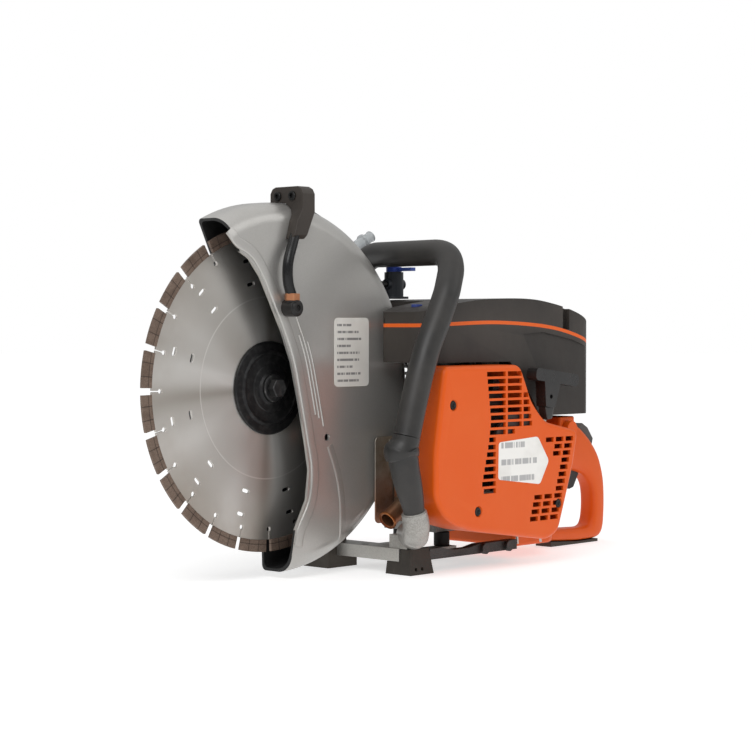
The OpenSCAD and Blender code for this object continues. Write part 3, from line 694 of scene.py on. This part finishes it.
HOSE_ROUTE = even(5.6, (4, -38, 163), (2, -38.4, 158), (-1, -39.4, 152), (-6, -41, 143), (-10, -42, 133),
                  (-11, -42, 122), (-10, -42, 112), (-8, -42, 105), (-5, -42, 99))
hose_rubber = moulded("hose_rubber", (19, 19, 20), (52, 50, 48), (0.2, 0.34), 0.00006, 500.0, 0.2)
piece(pipe(soft_path(HOSE_ROUTE)), "spray_hose_tube", 0, 2, "guard", hose_rubber,
      ["spray_hose"])
copper = turned_black("copper_brass", (150, 92, 62), (214, 160, 116))
nut = hex_bar(8.4, 92.6, 100.2, Vector((0, 0, 0)), 0.9)
bmesh.ops.rotate(nut, verts=nut.verts, matrix=Matrix.Rotation(math.radians(90), 3, "X"))
bmesh.ops.translate(nut, verts=nut.verts, vec=spot(-4, -42, 0))
piece(nut, "nozzle_nut", 0.3, 2, "guard", copper, ["spray_nozzle"])
NOZZLE = [(0, -47.6), (2.6, -47.6), (3.2, -49.9), (4.4, -50.2), (6.4, -50), (7.2, -48.2), (8.9, -47.6), (9.2, -46.4),
          (9.2, -31.4), (0, -31.2)]
COLLAR = [(0, 84), (6, 84), (6.4, 86), (6.4, 90), (7.4, 91), (7.4, 93.4), (0, 93.4)]
nozzle = lathe(NOZZLE, spot(-2, 0, 85), (0, 1, 0), 48)
collar = lathe(COLLAR, spot(-3.6, -42, 0), (0, 0, 1), 40)
piece(merged(nozzle, collar), "nozzle_body", 0.3, 2, "guard",
      moulded("nozzle_black", (28, 27, 27), (70, 64, 58), (0.3, 0.42)))


# ---- guard water line
# A thin black line lies along the guard's rim in two clips and feeds the block from the tap.
# Between the guard and the tap it crosses the tilt joint; that stretch is a separate piece on no body.
LINE_RADIUS, RIM_RADIUS, RIM_Y = 3.5, 202, 6
CLIP_RING = [(3.6, -3), (5, -3), (5.2, -2), (5.2, 2), (5, 3), (3.6, 3)]


def on_rim(angle):
    """Where the line is at an angle behind the guard's top, and which way it heads there."""
    across, up = math.sin(math.radians(angle)), math.cos(math.radians(angle))
    return (RIM_RADIUS * across, RIM_Y, RIM_RADIUS * up), (up, 0, -across)


along_rim = even(LINE_RADIUS, *(on_rim(angle)[0] for angle in range(14, 52, 3)))
clips = [lathe(CLIP_RING, spot(*place), heading, 28) for place, heading in map(on_rim, (20, 32, 44))]
piece(merged(pipe(soft_path(along_rim)), *clips), "rim_line", 0, 2, "guard", hose_rubber,
      ["guard_line"])
bridge = along_rim[-1:] + even(LINE_RADIUS, (158, 7, 125.6), (163, 12, 123.4), (168, 16, 123.6), (174, 16.4, 121))
bridge = piece(pipe(soft_path(bridge, 4)), "line_bridge", 0, 2, None, hose_rubber)
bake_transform(bridge)


# ---- water tap, its hoses and the hose connector
# A small dark tap with a blue lever stands behind the guard under the front handle's top bar.
# One hose runs forward to the guard, and another comes from the clear plug-in connector.
TAP_ROUTES = (even(LINE_RADIUS, (167, 16, 124), (178, 16.5, 119.4), (188, 17, 115), (200, 20, 114), (214, 22, 114)),
              even(LINE_RADIUS, (190, 62, 151.8), (185, 63, 146), (180, 64, 138), (181, 67, 127), (190, 68, 119),
                   (203, 65, 114), (214, 59, 111.5), (220, 48, 111), (222, 32, 111)))
tap_tubes = merged(*(pipe(soft_path(route)) for route in TAP_ROUTES))
piece(tap_tubes, "tap_tubes", 0, 2, "root", hose_rubber, ["tap_hose"])
tap_plastic = moulded("tap_plastic", (38, 42, 48), (78, 80, 84), (0.34, 0.48))
recast("water_tap", "tap_body", 0.9, 3, "root", tap_plastic)
lever_blue = moulded("lever_blue", (34, 58, 142), (96, 122, 190), (0.28, 0.4))
recast("tap_lever", "blue_lever", 0.8, 3, "tap", lever_blue)
slope = Vector((30, 0, 16)).normalized()
stub = [(0, 0), (9, 0), (9.2, 0.6), (9.2, 7.4), (8.4, 8), (7, 8), (7, 23), (8.6, 24), (9, 24.6), (9, 27.4),
        (8.4, 28), (6.9, 28.6), (6.9, 31), (6.2, 32), (6.2, 38), (6.8, 39), (6.8, 40), (4.5, 40), (4.5, 15),
        (0, 14.5)]
cloudy = moulded("cloudy_plastic", (196, 200, 202), (228, 230, 230), (0.12, 0.24), 0.00005, 300.0, 0.35,
                 Transmission_Weight=0.45, IOR=1.46)
piece(lathe(stub, spot(*TAP_ROUTES[1][0][:3]), slope, 48), "hose_plug", 0.2, 2, "root", cloudy,
      ["water_connector"])


# ---- front handle
# One bent steel tube under a thick black grip runs from the engine over the top and down the near side.
# Its lower end opens into a ring and then narrows through a rubber sleeve to the cast foot.
HANDLE = even(14.4, (190, 46, 10), (190, 46, 122), (190, 41, 138), (189, 24, 147), (176, -90, 147), (171, -107, 142),
              (162, -119, 128), (143, -129, 102), (126, -130.5, 72), (110, -130.5, 44), (98, -130.5, 14),
              (87, -130.5, -19), (80, -129.5, -46))
SLEEVE = [(79, -129.2, -50, 14.6), (77.4, -128.4, -58, 15), (75.4, -126.8, -63, 16.6), (74.6, -126, -65.4, 18.8),
          (74.4, -126, -67, 19), (75, -126.4, -68.4, 18.4), (75.8, -126.6, -70, 16.2), (77.4, -127, -80, 15.8),
          (80, -127, -90, 15.4), (84, -126.7, -101, 14.9), (88, -126.2, -111, 13.8), (92, -125.6, -121, 12.4),
          (94, -125.2, -127, 11.6), (95.2, -125, -132, 11.4)]


def grip_cover():
    finish = Finish("grip_cover")
    pores = finish.noise(1300.0, 3.0, 0.6)
    wear = finish.noise(18.0, 4.0, 0.65)
    dusty = finish.noise(6.0, 3.0, 0.55)
    colour = finish.mix(wear.spread(0.42, 0.72) * 0.4, (30, 29, 28), (66, 62, 58))
    colour = finish.mix(dusty.spread(0.5, 0.8) * 0.22, colour, (104, 96, 88))
    return finish.shade(colour, wear.spread(0.3, 0.7, 0.38, 0.52), pores, 0.0002, 0.55)


grip_material = grip_cover()
tube = pipe(soft_path(HANDLE + SLEEVE[:1]), 40)
sleeve = pipe(soft_path(SLEEVE, 30.0, 2), 40)
flange = prism(rounded_corners(rectangle(176.5, 36.5, 203.5, 55.5), 4), 8.4, 14, "Z")
piece(merged(tube, sleeve, flange), "handle_tube", 0, 2, "root", grip_material, ["front_handle"])


# ---- front support
# A silver cast elbow carries the handle's lower end and turns under the engine as a flat cross-member.
# Its skin is sand-blasted, slightly dirty in patches and brighter on the edges.
ELBOW = [(95.3, -124.9, -130.6, 12.6), (96.4, -124.7, -134, 13.6)] + even(
    14.2, (98, -124.3, -139), (100.3, -123.9, -147), (105, -119, -153), (112, -112, -158), (124, -98, -161.5),
    (138, -80, -162))


def cast_metal(name, base=(150, 148, 144), worn=(198, 196, 190), dirt=(84, 78, 70), metallic=0.75,
               gloss=(0.34, 0.5), grain=650.0, depth=0.0003):
    """Cast or blasted metal with grit marks, dirt in patches and brighter edges."""
    finish = Finish(name)
    grit = finish.noise(grain, 4.0, 0.65)
    patches = finish.noise(22.0, 5.0, 0.6)
    edge = finish.node("NewGeometry", output="Pointiness").spread(0.52, 0.62)
    colour = finish.mix(grit.spread(0.35, 0.65) * 0.5, base, worn)
    colour = finish.mix(patches.spread(0.5, 0.75) * 0.45, colour, dirt)
    colour = finish.mix(edge * 0.5, colour, worn)
    return finish.shade(colour, patches.spread(0.3, 0.7, *gloss), grit, depth, 0.5, metallic=metallic)


cast_silver = cast_metal("cast_silver")
recast("front_support", "cast_support", 0.8, 2, "root", cast_silver)
piece(pipe(soft_path(ELBOW, 16.0), 36), "support_elbow", 0, 2, "root", cast_silver)


# ---- feet, mounts and bracket
# Two moulded rubber feet and a pad under the loop carry the saw, and four rubber blocks isolate the engine.
# A pressed bracket with two bolts and a sprung wire clip ties the support to the tank.
foot_rubber = moulded("foot_rubber", (46, 42, 38), (88, 82, 74), (0.5, 0.66), 0.0003, 500.0, 0.4)
recast("rubber_feet", "moulded_feet", 1.4, 3, "root", foot_rubber)
recast("vibration_mounts", "isolators", 0.8, 2, "root",
       moulded("isolator_rubber", (24, 24, 24), (60, 58, 55), (0.5, 0.64), 0.0002, 600.0))
bracket_black = cast_metal("bracket_black", (36, 36, 37), (84, 82, 80), (60, 54, 48), 0.4, (0.36, 0.52), 800.0,
                           0.00015)
recast("side_bracket", "pressed_bracket", 0.6, 2, "root", bracket_black)
CLIP = even(1.5, (313, -88, -185), (312, -88, -172), (319, -88, -167.5), (336, -88, -167), (350, -88, -171),
            (357, -87, -186))
clip_wire = cast_metal("clip_wire", (176, 174, 170), (226, 224, 220), (120, 116, 110), 0.9, (0.2, 0.3), 1500.0,
                       0.00005)
piece(pipe(soft_path(CLIP, 8.0), 16), "wire_clip", 0, 2, "root", clip_wire)


# ---- exhaust
# The welded muffler box sits low at the front. A short tail pipe points forward past a bent heat shield.
# Heat has turned the steel straw and brown, most of all round the outlet.


def heated_steel(name, hot_spot, reach, base=(148, 132, 112), blue=(112, 96, 84), hot=(168, 98, 54)):
    """Steel that heat has coloured, strongest within reach mm of a point."""
    finish = Finish(name)
    away = finish.node("VectorMath", {"operation": "DISTANCE"}, {0: finish.place(), 1: hot_spot}, output="Value")
    soot = finish.noise(40.0, 5.0, 0.65)
    brushed = finish.noise(500.0, 3.0, 0.6, (1, 1, 0.1))
    heat = away.spread(0.0, reach * MM, 1.0, 0.0)
    colour = finish.mix(soot.spread(0.35, 0.7), base, blue)
    colour = finish.mix(heat * 0.85, colour, hot)
    colour = finish.mix(soot.spread(0.6, 0.8) * 0.5, colour, (52, 46, 42))
    return finish.shade(colour, soot.spread(0.3, 0.7, 0.3, 0.5), brushed + soot, 0.00015, 0.5, metallic=0.8)


mouth = spot(127, -57, -147)
recast("muffler", "muffler_box", 1.2, 3, "root", heated_steel("muffler_steel", mouth, 90))
recast("exhaust_pipe", "tail_pipe", 0.5, 2, "root", heated_steel("pipe_steel", mouth, 34))
recast("heat_shield", "bent_shield", 0.5, 2, "root",
       heated_steel("shield_steel", mouth, 60, (168, 164, 156), (136, 124, 110)))
LIP, PIPE_HEADING = [(9.9, -1.6), (10.8, -1.2), (11, 0), (10.8, 1.2), (9.9, 1.6)], (39, 1, 23.6)
rolled = lathe(LIP, mouth, PIPE_HEADING, 40)
piece(rolled, "tail_pipe_lip", 0, 2, "root",
      heated_steel("lip_steel", mouth, 30, (176, 118, 72), (140, 92, 58)))


# ---- starter housing
# One orange moulding covers the flywheel and the starter, with rows of narrow cooling slots and recessed screws.
# The plastic is semi-gloss with a light grain, a little paler in patches and on its edges.
orange = moulded("orange_moulding", (218, 86, 10), (226, 114, 52), (0.34, 0.46), 0.00006, 700.0, 0.16)
FACE, SKIN = -140.0, 3.5
HOUSING = [(128, 23), (256, 23), (268, 0), (275, -16), (288, -30), (302, -42), (361, -54), (352, -94), (338, -133),
           (325, -168), (306, -176), (182, -158), (150, -150), (128, -138), (113, -118), (113, -70)]
VENT_HEIGHT, VENT_PITCH, VENT_SHORTEST = 5.3, 8.0, 4
FRONT_ROWS, FRONT_TOP, REAR_ROWS, REAR_TOP = 17, 16, 12, -60
REAR_START, REAR_PITCH, REAR_LEAN = 300, 18, 2.56


def cut(made, tool, operation="DIFFERENCE"):
    """The object with a tool mesh taken away, or with only what lies inside the tool."""
    cutter = placed("tool", as_mesh(tool, "tool"))
    step = made.modifiers.new("cut", "BOOLEAN")
    step.operation, step.solver, step.object = operation, "EXACT", cutter
    made = plain(made)
    bpy.data.objects.remove(cutter)
    return shaded(made, 34)


def held(table, at):
    """The value between rows of a table that is sorted by its first column, kept at its ends."""
    for (a, low), (b, high) in zip(table, table[1:]):
        if at <= b:
            return low + (high - low) * max(at - a, 0) / (b - a)
    return table[-1][1]


def cooling_slots():
    """Where each slot of the three groups starts, ends and tops out."""
    left_edge = [(-119, 194), (-104, 189), (-80, 195), (-60, 200), (-35, 204), (16, 197)]
    plate_edge = [(-150, 250), (-120, 252), (-117, 297), (-88, 315), (-60, 288)]
    slots = []
    for row in range(FRONT_ROWS):
        z = FRONT_TOP - VENT_PITCH * row
        slots.append((held(left_edge, z), 212 if z < -50 else 229, z))
        if row < 9:
            slots.append((232.5, 257 - max(0, row - 7) * 12, z))
        if 2 < row < 8:
            slots.append((260, 264 + 1.6 * row, z))
    for row in range(REAR_ROWS):
        z = REAR_TOP - VENT_PITCH * row
        starts = [(REAR_START + REAR_PITCH * column - REAR_LEAN * row, 8 if column == 3 else 14)
                  for column in range(-2, 4)]
        slots += [(x, x + width, z) for x, width in starts if x > held(plate_edge, z) + 5 and x > 262]
    right_edge = [(-168, 318), (-133, 331), (-94, 345), (-54, 354)]
    trimmed = [(a, min(b, held(right_edge, z - VENT_HEIGHT)), z) for a, b, z in slots]
    return [slot for slot in trimmed if slot[1] - slot[0] > VENT_SHORTEST]


housing = bevelled(prism(rounded_corners(HOUSING, 9), FACE, -88), "starter_shell", 5.5, 5)
inset = [(x + (SKIN if x < 240 else -SKIN), z + (SKIN if z < -60 else -SKIN)) for x, z in HOUSING]
housing = cut(housing, prism(inset, FACE + SKIN, -80))
slots = (prism(rectangle(a, z, b, z - VENT_HEIGHT), FACE - 2, FACE + SKIN + 2) for a, b, z in cooling_slots())
housing = cut(housing, merged(*slots))
SCREWS = ((142, -19), (183, -136), (324, -136))
RECESS = [(0, FACE - 1), (6.4, FACE - 1), (5.6, FACE + 2.6), (0, FACE + 2.6)]
housing = cut(housing, merged(*(lathe(RECESS, spot(x, 0, z), sides=32) for x, z in SCREWS)))
settle(housing, "root", orange, ["starter_housing"])
RECESS_HEAD = [(0, -138.4), (2, -138.4), (2.3, -139.4), (4.2, -139.5), (4.8, -139), (4.8, -137), (0, -136.8)]
recessed = merged(*(lathe(RECESS_HEAD, spot(x, 0, z), sides=32) for x, z in SCREWS))
piece(recessed, "housing_screws", 0.1, 1, "root", screw_black)
pentagon = [(217, -62), (285, -58), (305, -86), (289, -112), (216, -103)]
name_plate = prism(rounded_corners(pentagon, 4), FACE - 0.45, FACE + 0.4)
piece(name_plate, "starter_plate", 0.15, 2, "root",
      printed_plate("plate_print", 3, -112, -56, 214, 306, (236, 235, 231), (150, 150, 152)))


# ---- pull grip and rope
# A moulded T-shaped grip sits in the housing's top corner, on the end of a 4 mm cord.
# The cord turns into the housing to its pulley; only a short fixed piece of it is drawn, from inside the housing up
# to the grip, on no body.
STEM_END = prism([(304.5, -25), (320.5, -25), (317, -39.5), (308, -40.5)], -136, -124)
grip_plastic = moulded("grip_plastic", (26, 25, 25), (72, 68, 64), (0.24, 0.36), Specular_IOR_Level=0.5)
recast("starter_handle", "pull_grip_body", 2.6, 4, "pull_grip", grip_plastic)
piece(STEM_END, "pull_grip_stem", 1.6, 3, "pull_grip", grip_plastic)
ROPE_ROUTE = even(2.1, (300, -130, -84), (303, -130, -66), (307, -130, -52), (311, -130, -36))


def twisted_cord():
    finish = Finish("twisted_cord")
    x, _, z = finish.parts(finish.place())
    strand = (z * 1900.0 + x * 700.0).math("SINE")
    fuzz = finish.noise(900.0, 3.0, 0.6)
    colour = finish.mix(strand.spread(-0.6, 0.8), (150, 146, 138), (222, 218, 208))
    colour = finish.mix(fuzz.spread(0.5, 0.8) * 0.3, colour, (96, 90, 82))
    return finish.shade(colour, 0.75 + fuzz * 0.1, strand + fuzz * 0.4, 0.0003, 0.6)


cord_line = piece(pipe(soft_path(ROPE_ROUTE, 3.0, 1), 16), "pull_cord", 0, 2, None,
                  twisted_cord())
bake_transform(cord_line)


# ---- filter and cylinder covers
# Two dark grained covers close the engine's top, with an orange stripe moulded along the near side.
# The decompression button stands on the cylinder cover in front.
cover_plastic = moulded("cover_plastic", (47, 43, 40), (84, 77, 71), (0.42, 0.56), 0.00018, 800.0)
COVER_NEAR, COVER_FAR, COVER_LOW, COVER_HIGH, COVER_EDGE = -112, 56, -60, 110, 3.2
COVER_PLAN = [(135, COVER_NEAR, 30), (430, COVER_NEAR, 34), (430, COVER_FAR, 34), (208, COVER_FAR, 6),
              (208, -40, 6), (135, -40, 6)]
COVER_ROOM = [(138, -109, 27), (427, -109, 31), (427, 53, 31), (211, 53, 3), (211, -43, 9), (138, -43, 3)]
COVER_TOP = [(134, 81), (160, 88), (225, 95.6), (300, 97), (350, 91.6), (392, 82), (431, 67)]
COVER_BASE = [(431, -37), (345, -37), (322, -34), (296, 2), (270, 26), (134, 26)]
STRIPE_HALF = 2
STRIPE = smooth_line([(120, 66), (180, 68.6), (250, 70), (330, 66), (385, 57), (450, 38)], 6)


def cover_solid(name):
    """The whole rounded cover before it is divided: a smooth side view that follows the plan, and hollow."""
    side = prism(smooth_line(COVER_TOP, 6) + COVER_BASE, COVER_NEAR - 1, COVER_FAR + 1)
    block = prism(rounded_corners(COVER_PLAN, 0, 9), COVER_LOW, COVER_HIGH, "Z")
    made = cut(bevelled(block, name, 0), side, "INTERSECT")
    net = bmesh.new()
    net.from_mesh(made.data)
    bpy.data.objects.remove(made)
    bmesh.ops.remove_doubles(net, verts=net.verts, dist=5e-6)
    bmesh.ops.dissolve_limit(net, angle_limit=math.radians(FLAT_LIMIT), verts=net.verts, edges=net.edges)
    made = bevelled(net, name, COVER_EDGE, 4, 50)
    return cut(made, prism(rounded_corners(COVER_ROOM, 0, 9), COVER_LOW - 1, 60, "Z"))


def stripe_side(offset, far):
    """The region above or below the stripe's line, out to the height far."""
    line = [(x, z + offset) for x, z in STRIPE]
    return prism(line + [(460, far), (110, far)], -120, 70)


lid = cut(cover_solid("air_box_cover"), stripe_side(STRIPE_HALF, 140), "INTERSECT")
notch = prism(rectangle(366, 62, 378, 92), -113, -105.5)
button_hole = lathe([(0, 60), (6.5, 60), (6.5, 130), (0, 130)], spot(160, -70, 0), (0, 0, 1), 40)
lid = cut(lid, merged(notch, button_hole))
settle(lid, "root", cover_plastic, ["filter_cover"])
lower = cut(cover_solid("engine_cover"), stripe_side(-STRIPE_HALF, -90), "INTERSECT")
STEPPED = [(293, 57), (313, 26), (326, 10), (333, -45), (445, -45), (445, 32), (385, 50), (330, 59)]
lower = cut(lower, prism(rounded_corners(STEPPED, 3), -114, -110))
settle(lower, "root", cover_plastic, ["cylinder_cover"])
band = [(x, z + STRIPE_HALF) for x, z in STRIPE] + [(x, z - STRIPE_HALF) for x, z in reversed(STRIPE)]
band = prism(band, -120, 70)
settle(cut(cover_solid("orange_stripe"), band, "INTERSECT"), "root", orange, ["trim_stripe"])
recast("decompression_button", "release_button", 0.6, 2, "decompression",
       moulded("button_plastic", (40, 58, 128), (120, 132, 170), (0.3, 0.42)))


# ---- rear handle and fuel tank
# The rear half is one orange moulding: the fuel tank in front and a closed loop grip behind it.
# The loop is rounded all round for the hand, thick on top and at the back and thin along the bottom.
LOOP_OUTER = [(425, -41), (478, -46), (505, -57), (530, -76), (546, -96), (555, -122), (557, -152), (555, -188),
              (546, -200), (500, -201), (425, -196)]
LOOP_INNER = [(448, -110), (496, -113), (516, -119), (530, -133), (533, -155), (530, -177), (522, -185), (440, -182),
              (440, -118)]
LOOP_CENTRE, LOOP_Y, LOOP_HALF = Vector((488, -148)), -20.0, 13.0


def edge_towards(outline, centre, angle):
    """Where a ray from the centre leaves a closed outline."""
    heading, best = Vector((math.cos(angle), math.sin(angle))), None
    for i, a in enumerate(outline):
        a, b = Vector(a) - centre, Vector(outline[(i + 1) % len(outline)]) - centre
        cross = heading.x * (b - a).y - heading.y * (b - a).x
        if abs(cross) > 1e-9:
            along = (a.x * (b - a).y - a.y * (b - a).x) / cross
            share = (a.x * heading.y - a.y * heading.x) / cross
            if along > 0 and -1e-6 <= share <= 1 + 1e-6 and (best is None or along > best):
                best = along
    return centre + heading * best


def loop_grip(steps=160, sides=28, square=0.62):
    """The loop, lofted between its inner and outer outlines with a rounded-box section."""
    outer, inner = rounded_corners(LOOP_OUTER, 14), rounded_corners(LOOP_INNER, 12)
    net, rings = bmesh.new(), []
    for i in range(steps):
        far, close = (edge_towards(line, LOOP_CENTRE, 2 * math.pi * i / steps) for line in (outer, inner))
        middle, half, ring = (far + close) / 2, (far - close) / 2, []
        for c, s in circle(sides):
            c, s = math.copysign(abs(c) ** square, c), math.copysign(abs(s) ** square, s)
            ring.append(net.verts.new(spot(middle.x + half.x * c, LOOP_Y + LOOP_HALF * s, middle.y + half.y * c)))
        rings.append(ring)
    return skinned(net, rings, True)


tank_plan = rounded_corners([(318, -80), (388, -80), (432, -38), (432, 36), (318, 36)], 9)
piece(prism(tank_plan, -190, -40, "Z"), "fuel_tank", 4.5, 4, "root", orange, ["rear_handle_tank"])
choke_block = prism(rounded_corners(rectangle(372, -104, 400, -70), 4), -76, -40, "Z")
piece(choke_block, "choke_housing", 2.0, 3, "root", orange)
piece(loop_grip(), "loop_grip", 0, 2, "root", orange)
neck = lathe([(17, 20), (17.2, 40), (21, 40), (22, 39), (22, 28), (24, 26)], spot(395, 0, -140), sides=64)
piece(neck, "filler_neck", 0.4, 2, "root", orange)


# ---- controls
# The throttle trigger hangs inside the loop, and the lockout rises from its top under the palm.
# A red stop switch, an orange choke knob and the fuel cap complete the rear.
trigger_black = moulded("trigger_black", (30, 29, 29), (74, 70, 66), (0.34, 0.48))
recast("throttle_trigger", "trigger_blade", 1.2, 3, "trigger", trigger_black)
recast("throttle_lockout", "lockout_blade", 1.6, 3, "lockout",
       moulded("lockout_grey", (74, 70, 68), (112, 106, 100), (0.38, 0.5)))
recast("stop_switch", "stop_rocker", 0.4, 2, "switch",
       moulded("switch_red", (150, 26, 20), (196, 90, 78), (0.3, 0.42)))
recast("choke_knob", "choke_button", 0.8, 3, "choke", orange)
recast("fuel_cap", "filler_cap", 0.8, 2, "cap", moulded("cap_black", (36, 35, 35), (84, 80, 76)))


# ---- cutting arm and belt cover
# A cast arm in dark powder coat carries the spindle on the right, closed by a pressed cover with six screws.
# Inside it a poly-V belt joins the clutch drum to the blade's pulley, and a screw sets its tension.
powder = cast_metal("powder_coat", (40, 40, 42), (96, 94, 92), (66, 60, 54), 0.25, (0.42, 0.58), 900.0, 0.00025)
recast("cutting_arm", "arm_casting", 1.2, 3, "root", powder)
recast("belt_cover", "arm_cover", 1.4, 3, "root", powder)
bright = cast_metal("machined_bright", (168, 167, 165), (222, 221, 218), (112, 106, 98), 0.95, (0.2, 0.34), 1600.0,
                    0.00005)
recast("cover_screws", "arm_cover_screws", 0.4, 2, "root", bright)
recast("belt_tensioner", "tension_screw", 0.4, 2, "root", bright)
recast("drive_belt", "poly_v_belt", 0.3, 1, "root",
       moulded("belt_rubber", (26, 25, 25), (58, 55, 52), (0.5, 0.64), 0.0002, 400.0))


# ---- engine and inner works
# Sealed inside are the crankcase, cylinder, crank, clutch, flywheel, starter and intake.
# Their CAD solids stay as they are, and each gets the finish of its real metal, plastic or paper.
engine_cast = cast_metal("engine_cast", (128, 127, 124), (176, 174, 170), (70, 66, 60), 0.8, (0.4, 0.56), 500.0,
                         0.0004)
pulley_plastic = moulded("pulley_plastic", (44, 43, 43), (88, 84, 80))
paper_pleats = moulded("paper_pleats", (186, 166, 120), (208, 190, 150), (0.7, 0.85), 0.0003, 700.0, 0.4)
glaze = moulded("plug_glaze", (224, 222, 214), (238, 236, 230), (0.1, 0.2), 0.00003, 300.0)
boot_rubber = moulded("boot_rubber", (26, 26, 26), (60, 58, 55), (0.46, 0.6), 0.0002)
INNER = {engine_cast: ("crankcase", "engine_cylinder", "piston", "flywheel", "carburettor"),
         bright: ("spindle_shaft", "spindle_bearings", "blade_pulley", "crankshaft", "crank_bearings", "rod_big_end",
                  "connecting_rod", "clutch_hub", "clutch_drum", "starter_spring"),
         pulley_plastic: ("rope_pulley", "ignition_module"), paper_pleats: ("air_filter",), glaze: ("spark_plug",),
         boot_rubber: ("intake_boot",)}
for material, names in INNER.items():
    for node in names:
        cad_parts[node].material_slots[0].material = material


# ---- studio
# A plain white floor and a soft white room, brighter above than at the sides, with one large lamp over the left.
# The camera stands low in front of the blade's side, a long way off.
ROOM_TOP, ROOM_SIDE = 0.9, 0.28
FLOOR_HALF, FLOOR_GREY, FLOOR_GLOW = 14.0, (206, 206, 206), 0.56
SENSOR, FOCAL_SHARE = 36, 2000 / 755
AZIMUTH, ELEVATION, CAMERA_FROM_AXLE = math.radians(-46.67), math.radians(1.5), (-1.472, -1.550, 0.067)
floor_mesh = bmesh.new()
bmesh.ops.create_grid(floor_mesh, x_segments=1, y_segments=1, size=FLOOR_HALF)
studio_floor = placed("studio_floor", as_mesh(floor_mesh, "studio_floor"))
paper = Finish("white_paper")
studio_floor.data.materials.append(paper.shade(
    tint(*FLOOR_GREY), 0.85 + paper.noise(30.0) * 0.05, Emission_Color=(1, 1, 1, 1), Emission_Strength=FLOOR_GLOW))

world = bpy.data.worlds.new("studio")
bpy.context.scene.world = world
world.use_nodes = True
sky, link = world.node_tree.nodes, world.node_tree.links.new
where, split, ramp, seen, pick = (sky.new("ShaderNode" + kind) for kind in (
    "TexCoord", "SeparateXYZ", "MapRange", "LightPath", "Mix"))
ramp.inputs[1].default_value, ramp.inputs[2].default_value = -0.05, 0.9
ramp.inputs[3].default_value, ramp.inputs[4].default_value = ROOM_SIDE, ROOM_TOP
link(where.outputs["Generated"], split.inputs[0])
link(split.outputs[2], ramp.inputs[0])
link(seen.outputs["Is Camera Ray"], pick.inputs[0])
link(ramp.outputs[0], pick.inputs[2])
pick.inputs[3].default_value = 1.0
link(pick.outputs[0], sky["Background"].inputs[1])
sky["Background"].inputs[0].default_value = (1, 1, 1, 1)


def soft_lamp(name, place, size, energy):
    """A square lamp that faces the saw's middle."""
    light = bpy.data.lights.new(name, "AREA")
    light.energy, light.size = energy, size
    lamp = placed(name, light)
    lamp.location = place
    lamp.rotation_euler = (Vector(place) - Vector((0, 0, 0.2))).to_track_quat("Z", "Y").to_euler()


soft_lamp("key", (-1.6, -0.9, 1.7), 1.2, 20)
soft_lamp("fill", (1.2, -1.8, 1.4), 1.4, 5)
bpy.context.scene.view_settings.view_transform = "Standard"
view = bpy.data.cameras.new("view")
view.lens, view.sensor_width = SENSOR * FOCAL_SHARE, SENSOR
camera = placed("view", view)
level = math.cos(ELEVATION)
back = Vector((math.sin(AZIMUTH) * level, -math.cos(AZIMUTH) * level, math.sin(ELEVATION)))
camera.location = AXLE + Vector(CAMERA_FROM_AXLE)
camera.rotation_euler = back.to_track_quat("Z", "Y").to_euler()
bpy.context.scene.camera = camera
